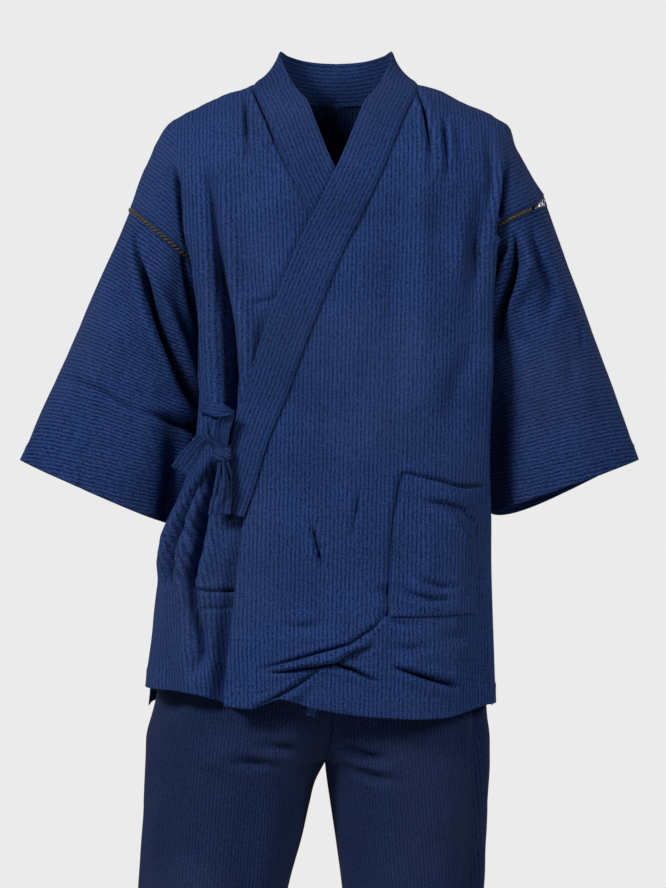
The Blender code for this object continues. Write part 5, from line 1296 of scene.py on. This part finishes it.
def makeTrouserLeg(side, material):
    rows = np.array([trouserRow(side, d) for d in trousers["drops"]])
    crotch = trousers["drops"].index(trousers["crotch"])
    aroundParts = partsFor(rows[8:].swapaxes(0, 1), trousers["aroundStep"])
    downParts = partsFor(rows, trousers["rowStep"])
    grid = refined(refinedAcross(rows, aroundParts), downParts)
    crotchRow = sum(downParts[:crotch])
    arc = arcAcross(grid)
    x, drop = grid[..., 0], -grid[..., 2]
    level = drop.mean(axis=1)
    middle = arc.shape[1] // 2
    reference = signs[side] * (trousers["grainAt"] + trousers["grainLean"] * (level - 0.5))
    zero = np.array([np.interp(signs[side] * r, signs[side] * row[:middle], a[:middle])
                     for r, row, a in zip(reference, x, arc)])
    uv = np.stack([arc - zero[:, None], drop], axis=-1)
    onFront = grid[..., 1] < 0
    depth = np.where(onFront, creaseShape(trousers["creases"][side], x, drop)[0],
                     creaseShape(trousers["creases"]["back"], np.abs(x), drop)[0])
    share = np.linspace(0, 1, grid.shape[1])
    depth *= ease(np.minimum(share, 1 - share) / 0.06)[None, :]
    flank = ease(np.abs(grid[..., 1]) / 0.03)
    ripple = unevenness(grid[..., 0] + grid[..., 1] * 0.6, drop, trousers["ripple"], 51.0 + signs[side])
    ripple *= ease((level - 0.50) / 0.03)[:, None] * ease(np.minimum(share, 1 - share) / 0.05)[None, :]
    rim = drop[-1:, :] - drop
    hemStep = 0.0007 * (1 - ease((rim - trousers["hemFold"]) / 0.002))
    seamDip = 0.0009 * np.exp(-((grid[..., 1] / 0.0025) ** 2)) * (np.abs(x) > 0.1)
    raised = ripple + hemStep - seamDip - depth * flank - 0.0003
    moved = movedOut(grid, raised, -signs[side])
    moved[:, [0, -1]] = grid[:, [0, -1]]
    moved[crotchRow:, -1] = moved[crotchRow:, 0]
    piece = clothPiece(f"trouser{side.title()}", moved, uv, material, wall["cloth"],
                       flip=side == "left", inwards=True, weld=True)
    settle(piece, [f"trouser_{side}"])
    return {"piece": piece, "grid": moved, "uv": uv, "sheet": dict(flat=trousers["flat"])}


waistband = {"top": 0.456, "gathers": 46, "gather": 0.0016, "rows": 14, "around": 552, "flat": (0.92, 0.039)}


def makeWaistband(material):
    form = trousers["form"]
    low = trousers["drops"][0] - jacket["seam"]
    angle = np.linspace(0, 2 * math.pi, waistband["around"] + 1)
    across, through = np.cos(angle), np.sin(angle)
    x = np.where(across >= 0, form["outerLeft"][0], -form["outerRight"][0]) * across
    x += form["innerLeft"][0] * (1 - np.abs(across))
    y = np.where(through < 0, form["front"][0], form["back"][0]) * through
    height = np.linspace(0, 1, waistband["rows"] + 1)
    phase = angle * waistband["gathers"] + 0.9 * np.sin(angle * 5 + 1)
    deep = waistband["gather"] * (0.55 + 0.45 * np.sin(height * math.pi)[:, None])
    deep = deep * (0.8 + 0.2 * np.sin(angle * 7)[None, :])
    channels = 0.0008 * (np.abs(np.sin(height * math.pi * 2)) - 0.6)[:, None]
    wave = 1 + (deep * np.cos(phase)[None, :] + channels + 0.0006) / np.abs(y).max()
    drop = low + (waistband["top"] - low) * height
    grid = np.stack([x * wave, y * wave, np.broadcast_to(-drop[:, None], wave.shape)], axis=-1)
    grid[:, -1] = grid[:, 0]
    uv = np.stack([arcAcross(grid) * 1.3, np.broadcast_to(drop[:, None], wave.shape)], axis=-1)
    piece = clothPiece("gatheredWaistband", grid, uv, material, 0.0014, weld=True)
    settle(piece, ["waistband"])
    return {"piece": piece, "grid": grid, "sheet": dict(flat=waistband["flat"])}


# ---- drawstring: the two free ends of one flat woven cord ----

drawstring = {
    "width": 0.011, "thickness": 0.0016, "across": 8, "step": 0.0022, "stiffness": "limp",
    "drawstring_long": table(
        "x       y       drop",
        (-0.0120, -0.1054, 0.4850), (-0.0135, -0.1112, 0.5250), (-0.0150, -0.1166, 0.5900),
        (-0.0170, -0.1195, 0.6600), (-0.0225, -0.1225, 0.7200), (-0.0310, -0.1295, 0.7550),
    ),
    "drawstring_short": table(
        "x       y       drop",
        (0.0090, -0.1054, 0.4850), (0.0100, -0.1112, 0.5250), (0.0105, -0.1166, 0.5900),
        (0.0110, -0.1190, 0.6500), (0.0115, -0.1200, 0.7000),
    ),
}


def tapeGrid(rows, step, across):
    knots = np.arange(len(rows["x"]), dtype=float)
    middle = np.stack([rows["x"], rows["y"], -rows["drop"]], axis=-1)
    count = int(np.linalg.norm(np.diff(middle, axis=0), axis=1).sum() / step)
    at = np.linspace(0, knots[-1], count + 1)
    middle = np.stack([smooth(knots, middle[:, k], at) for k in range(3)], axis=-1)
    along = unit(np.gradient(middle, axis=0))
    turn = np.radians(smooth(knots, rows["turn"], at))[:, None]
    facing = np.cos(turn) * np.array([0, -1.0, 0]) + np.sin(turn) * np.array([0, 0, 1.0])
    over = unit(np.cross(facing, along))
    half = smooth(knots, rows["width"], at)[:, None] / 2
    share = np.linspace(-1, 1, across + 1)
    grid = middle[:, None] + over[:, None] * half[:, None] * share[None, :, None]
    return grid, unit(np.cross(along, over)), share, at / knots[-1]


def makeDrawstrings(material):
    for node in ("drawstring_long", "drawstring_short"):
        route = drawstring[node]
        rows = dict(route, width=np.full(len(route["x"]), drawstring["width"]), turn=np.zeros(len(route["x"])))
        grid = tapeGrid(rows, drawstring["step"], drawstring["across"])[0]
        grid[:, :, 1] += 0.0003
        path = grid[:, drawstring["across"] // 2] + np.array([0, drawstring["thickness"] / 2, 0])
        arc = arcAcross(grid)
        down = np.concatenate([[0], np.cumsum(np.linalg.norm(np.diff(path, axis=0), axis=1))])
        uv = np.stack([arc, np.broadcast_to(down[:, None], arc.shape)], axis=-1)
        name = "drawstring" + node.split("_")[1].title()
        piece = clothPiece(name, grid, uv, material, drawstring["thickness"])
        settle(piece, [node])


# ---- stitching ----

def makeStitching(name, lines, material):
    # lines: (points, outward normals) of each row of stitches
    runs = []
    for points, normals in lines:
        runs += stitchesAlong(points, normals)
    piece = threadRun(name, runs, stitch["radius"], material)
    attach(piece, "root")
    return piece


def outerLine(grid, take, thickness, sign):  # a line of grid points on the cloth's outer face, with its normals
    along, over = np.gradient(grid, axis=1), np.gradient(grid, axis=0)
    normals = unit(np.cross(along, over)) * sign
    return take(grid + normals * thickness), take(normals)


def rowAtDistance(grid, distance, fromEnd=True):  # index of the row about this far from the last or first row
    step = np.linalg.norm(np.diff(grid, axis=0), axis=-1).mean(axis=1)
    along = np.cumsum(step[::-1] if fromEnd else step)
    k = int(np.searchsorted(along, distance)) + 1
    return len(grid) - 1 - k if fromEnd else k


def stitchJacket(bodies, thread):
    lines = []
    for side, body in bodies.items():
        grid = body["grid"]
        sign = signs[side]
        hemRow = rowAtDistance(grid, jacket["hemFold"] - stitch["inFromFold"], fromEnd=False)
        backRow = rowAtDistance(grid, jacket["hemFold"] - stitch["inFromFold"])
        lines.append(outerLine(grid, lambda g: g[hemRow], wall["cloth"], sign))
        lines.append(outerLine(grid, lambda g: g[backRow], wall["cloth"], sign))
    makeStitching("hemStitching", lines, thread)


def stitchPocket(grid, thread):
    column, last = 2, grid.shape[1] - 3
    mouth = rowAtDistance(grid, pocket["mouthHem"] - stitch["inFromFold"])
    lines = [
        outerLine(grid, lambda g: g[:, column], wall["cloth"], 1),
        outerLine(grid, lambda g: g[:, last], wall["cloth"], 1),
        outerLine(grid, lambda g: g[1, column : last + 1], wall["cloth"], 1),
        outerLine(grid, lambda g: g[mouth, column : last + 1], wall["cloth"], 1),
    ]
    return makeStitching("pocketStitching", lines, thread)


def stitchSleeve(side, grid, thread):
    row = rowAtDistance(grid, sleeves["hemFold"] - stitch["inFromFold"])
    line = outerLine(grid, lambda g: g[row], 0.0, signs[side])
    return makeStitching(f"sleeveStitching{side.title()}", [line], thread)


def stitchTrouser(side, grid, thread):
    row = rowAtDistance(grid, trousers["hemFold"] - stitch["inFromFold"])
    line = outerLine(grid, lambda g: g[row], 0.0, -signs[side])
    return makeStitching(f"trouserStitching{side.title()}", [line], thread)


# ---- stage and light ----

stage = {
    "floor": {"height": -1.5, "size": 4.0, "colour": "#d8d8d6"},
    "surround": "#ebebeb", "ambient": 0.035,
    "lamps": {
        "keyLamp": {"place": (-2.0, -2.2, 1.5), "size": 0.8, "power": 98},
        "fillLamp": {"place": (2.2, -2.2, 1.0), "size": 1.0, "power": 42},
        "backLampLeft": {"place": (2.6, 2.4, 0.6), "size": 1.2, "power": 20},
        "backLampRight": {"place": (-2.6, 2.4, 0.6), "size": 1.2, "power": 20},
    },
    "aim": (0, 0, -0.5),
}


def makeStage():
    bpy.ops.object.select_all(action="DESELECT")
    bpy.ops.mesh.primitive_plane_add(size=stage["floor"]["size"], location=(0, 0, stage["floor"]["height"]))
    floor = bpy.context.object
    floor.name = "floor"
    bpy.ops.object.transform_apply(location=True)
    material, tree, shader = newMaterial("studioPaper", 0.9)
    shader.inputs["Base Color"].default_value = linear(stage["floor"]["colour"])
    floor.data.materials.append(material)
    world = bpy.data.worlds.new("studio")
    world.use_nodes = True
    # the surround shows as plain paper, and lights the cloth less than it shows, as in a dark studio
    tree = world.node_tree
    paper = tree.nodes["Background"]
    paper.inputs["Color"].default_value = linear(stage["surround"])
    soft = addNode(tree, "ShaderNodeBackground", _0=(1, 1, 1, 1), _1=stage["ambient"])
    seen = addNode(tree, "ShaderNodeLightPath").outputs["Is Camera Ray"]
    both = addNode(tree, "ShaderNodeMixShader", [(0, seen), (1, soft), (2, paper)])
    tree.links.new(both.outputs[0], tree.nodes["World Output"].inputs["Surface"])
    bpy.context.scene.world = world
    for name, lamp in stage["lamps"].items():
        bpy.ops.object.light_add(type="AREA", location=lamp["place"])
        light = bpy.context.object
        light.name = name
        light.data.energy = lamp["power"]
        light.data.shape = "SQUARE"
        light.data.size = lamp["size"]
        towards = Vector(stage["aim"]) - Vector(lamp["place"])
        light.rotation_euler = towards.to_track_quat("-Z", "Y").to_euler()
    bpy.context.scene.view_settings.view_transform = "Standard"


# ---- making the set ----

addCamera()
navyCotton = makeRibbedCotton("shijiraCotton", cotton["ribPitch"], cotton["paintedGrooveShade"], cotton["ridge"])
trouserCotton = makeRibbedCotton("shijiraCottonFine", cotton["trouserPitch"], cotton["trouserPaintedGrooveShade"],
                                 cotton["trouserRidge"])
bandCotton = makeRibbedCotton("shijiraCottonFolded", cotton["ribPitch"], cotton["paintedGrooveShade"], cotton["ridge"],
                              0.85, 0.9)
# the sleeves' copy has deeper rib grooves, so stronger painted groove shade as well as stronger bump
sleeveCotton = makeRibbedCotton("shijiraCottonCross", cotton["ribPitch"], cotton["paintedGrooveShade"], cotton["ridge"],
                                1.0, 1.2)
# the drawstring cloth: the same cotton with its colour made 2.5 times brighter, painted light on the cord ends that
# hang in the jacket hem's shadow
paintedLightTapeCotton = makeRibbedCotton("shijiraCottonTapePaintedLight", cotton["ribPitch"], cotton["paintedGrooveShade"], cotton["ridge"],
                              2.5, 0.5)
navyThread = makeThread("polyesterThreadNavy", "#0d1226", "#222c4a", 0.5)
brownThread = makeThread("polyesterThreadBrown", "#241f1d", "#665c50", 1.4)
makeDrawstrings(paintedLightTapeCotton)
print("camera, materials and drawstrings made")

bodies = {side: makePanel(side, navyCotton) for side in signs}
print("jacket body made")
arms = {side: makeSleeve(side, sleeveCotton) for side in signs}
for side in signs:
    makeLacing(side, navyThread, brownThread)
print("sleeves and lacing made")
band = makeCollar(bandCotton)
patch = makePocket(bodies["left"], navyCotton)
ties = makeTie(bodies["right"], bandCotton)
print("collar, pocket and tie made")
legs = {side: makeTrouserLeg(side, trouserCotton) for side in signs}
waist = makeWaistband(trouserCotton)
print("trousers made")

stitchJacket(bodies, navyThread)
pocketSeam = stitchPocket(patch["grid"], navyThread)
cuffs = {side: stitchSleeve(side, arms[side]["grid"], navyThread) for side in signs}
turnUps = {side: stitchTrouser(side, legs[side]["grid"], navyThread) for side in signs}

makeStage()
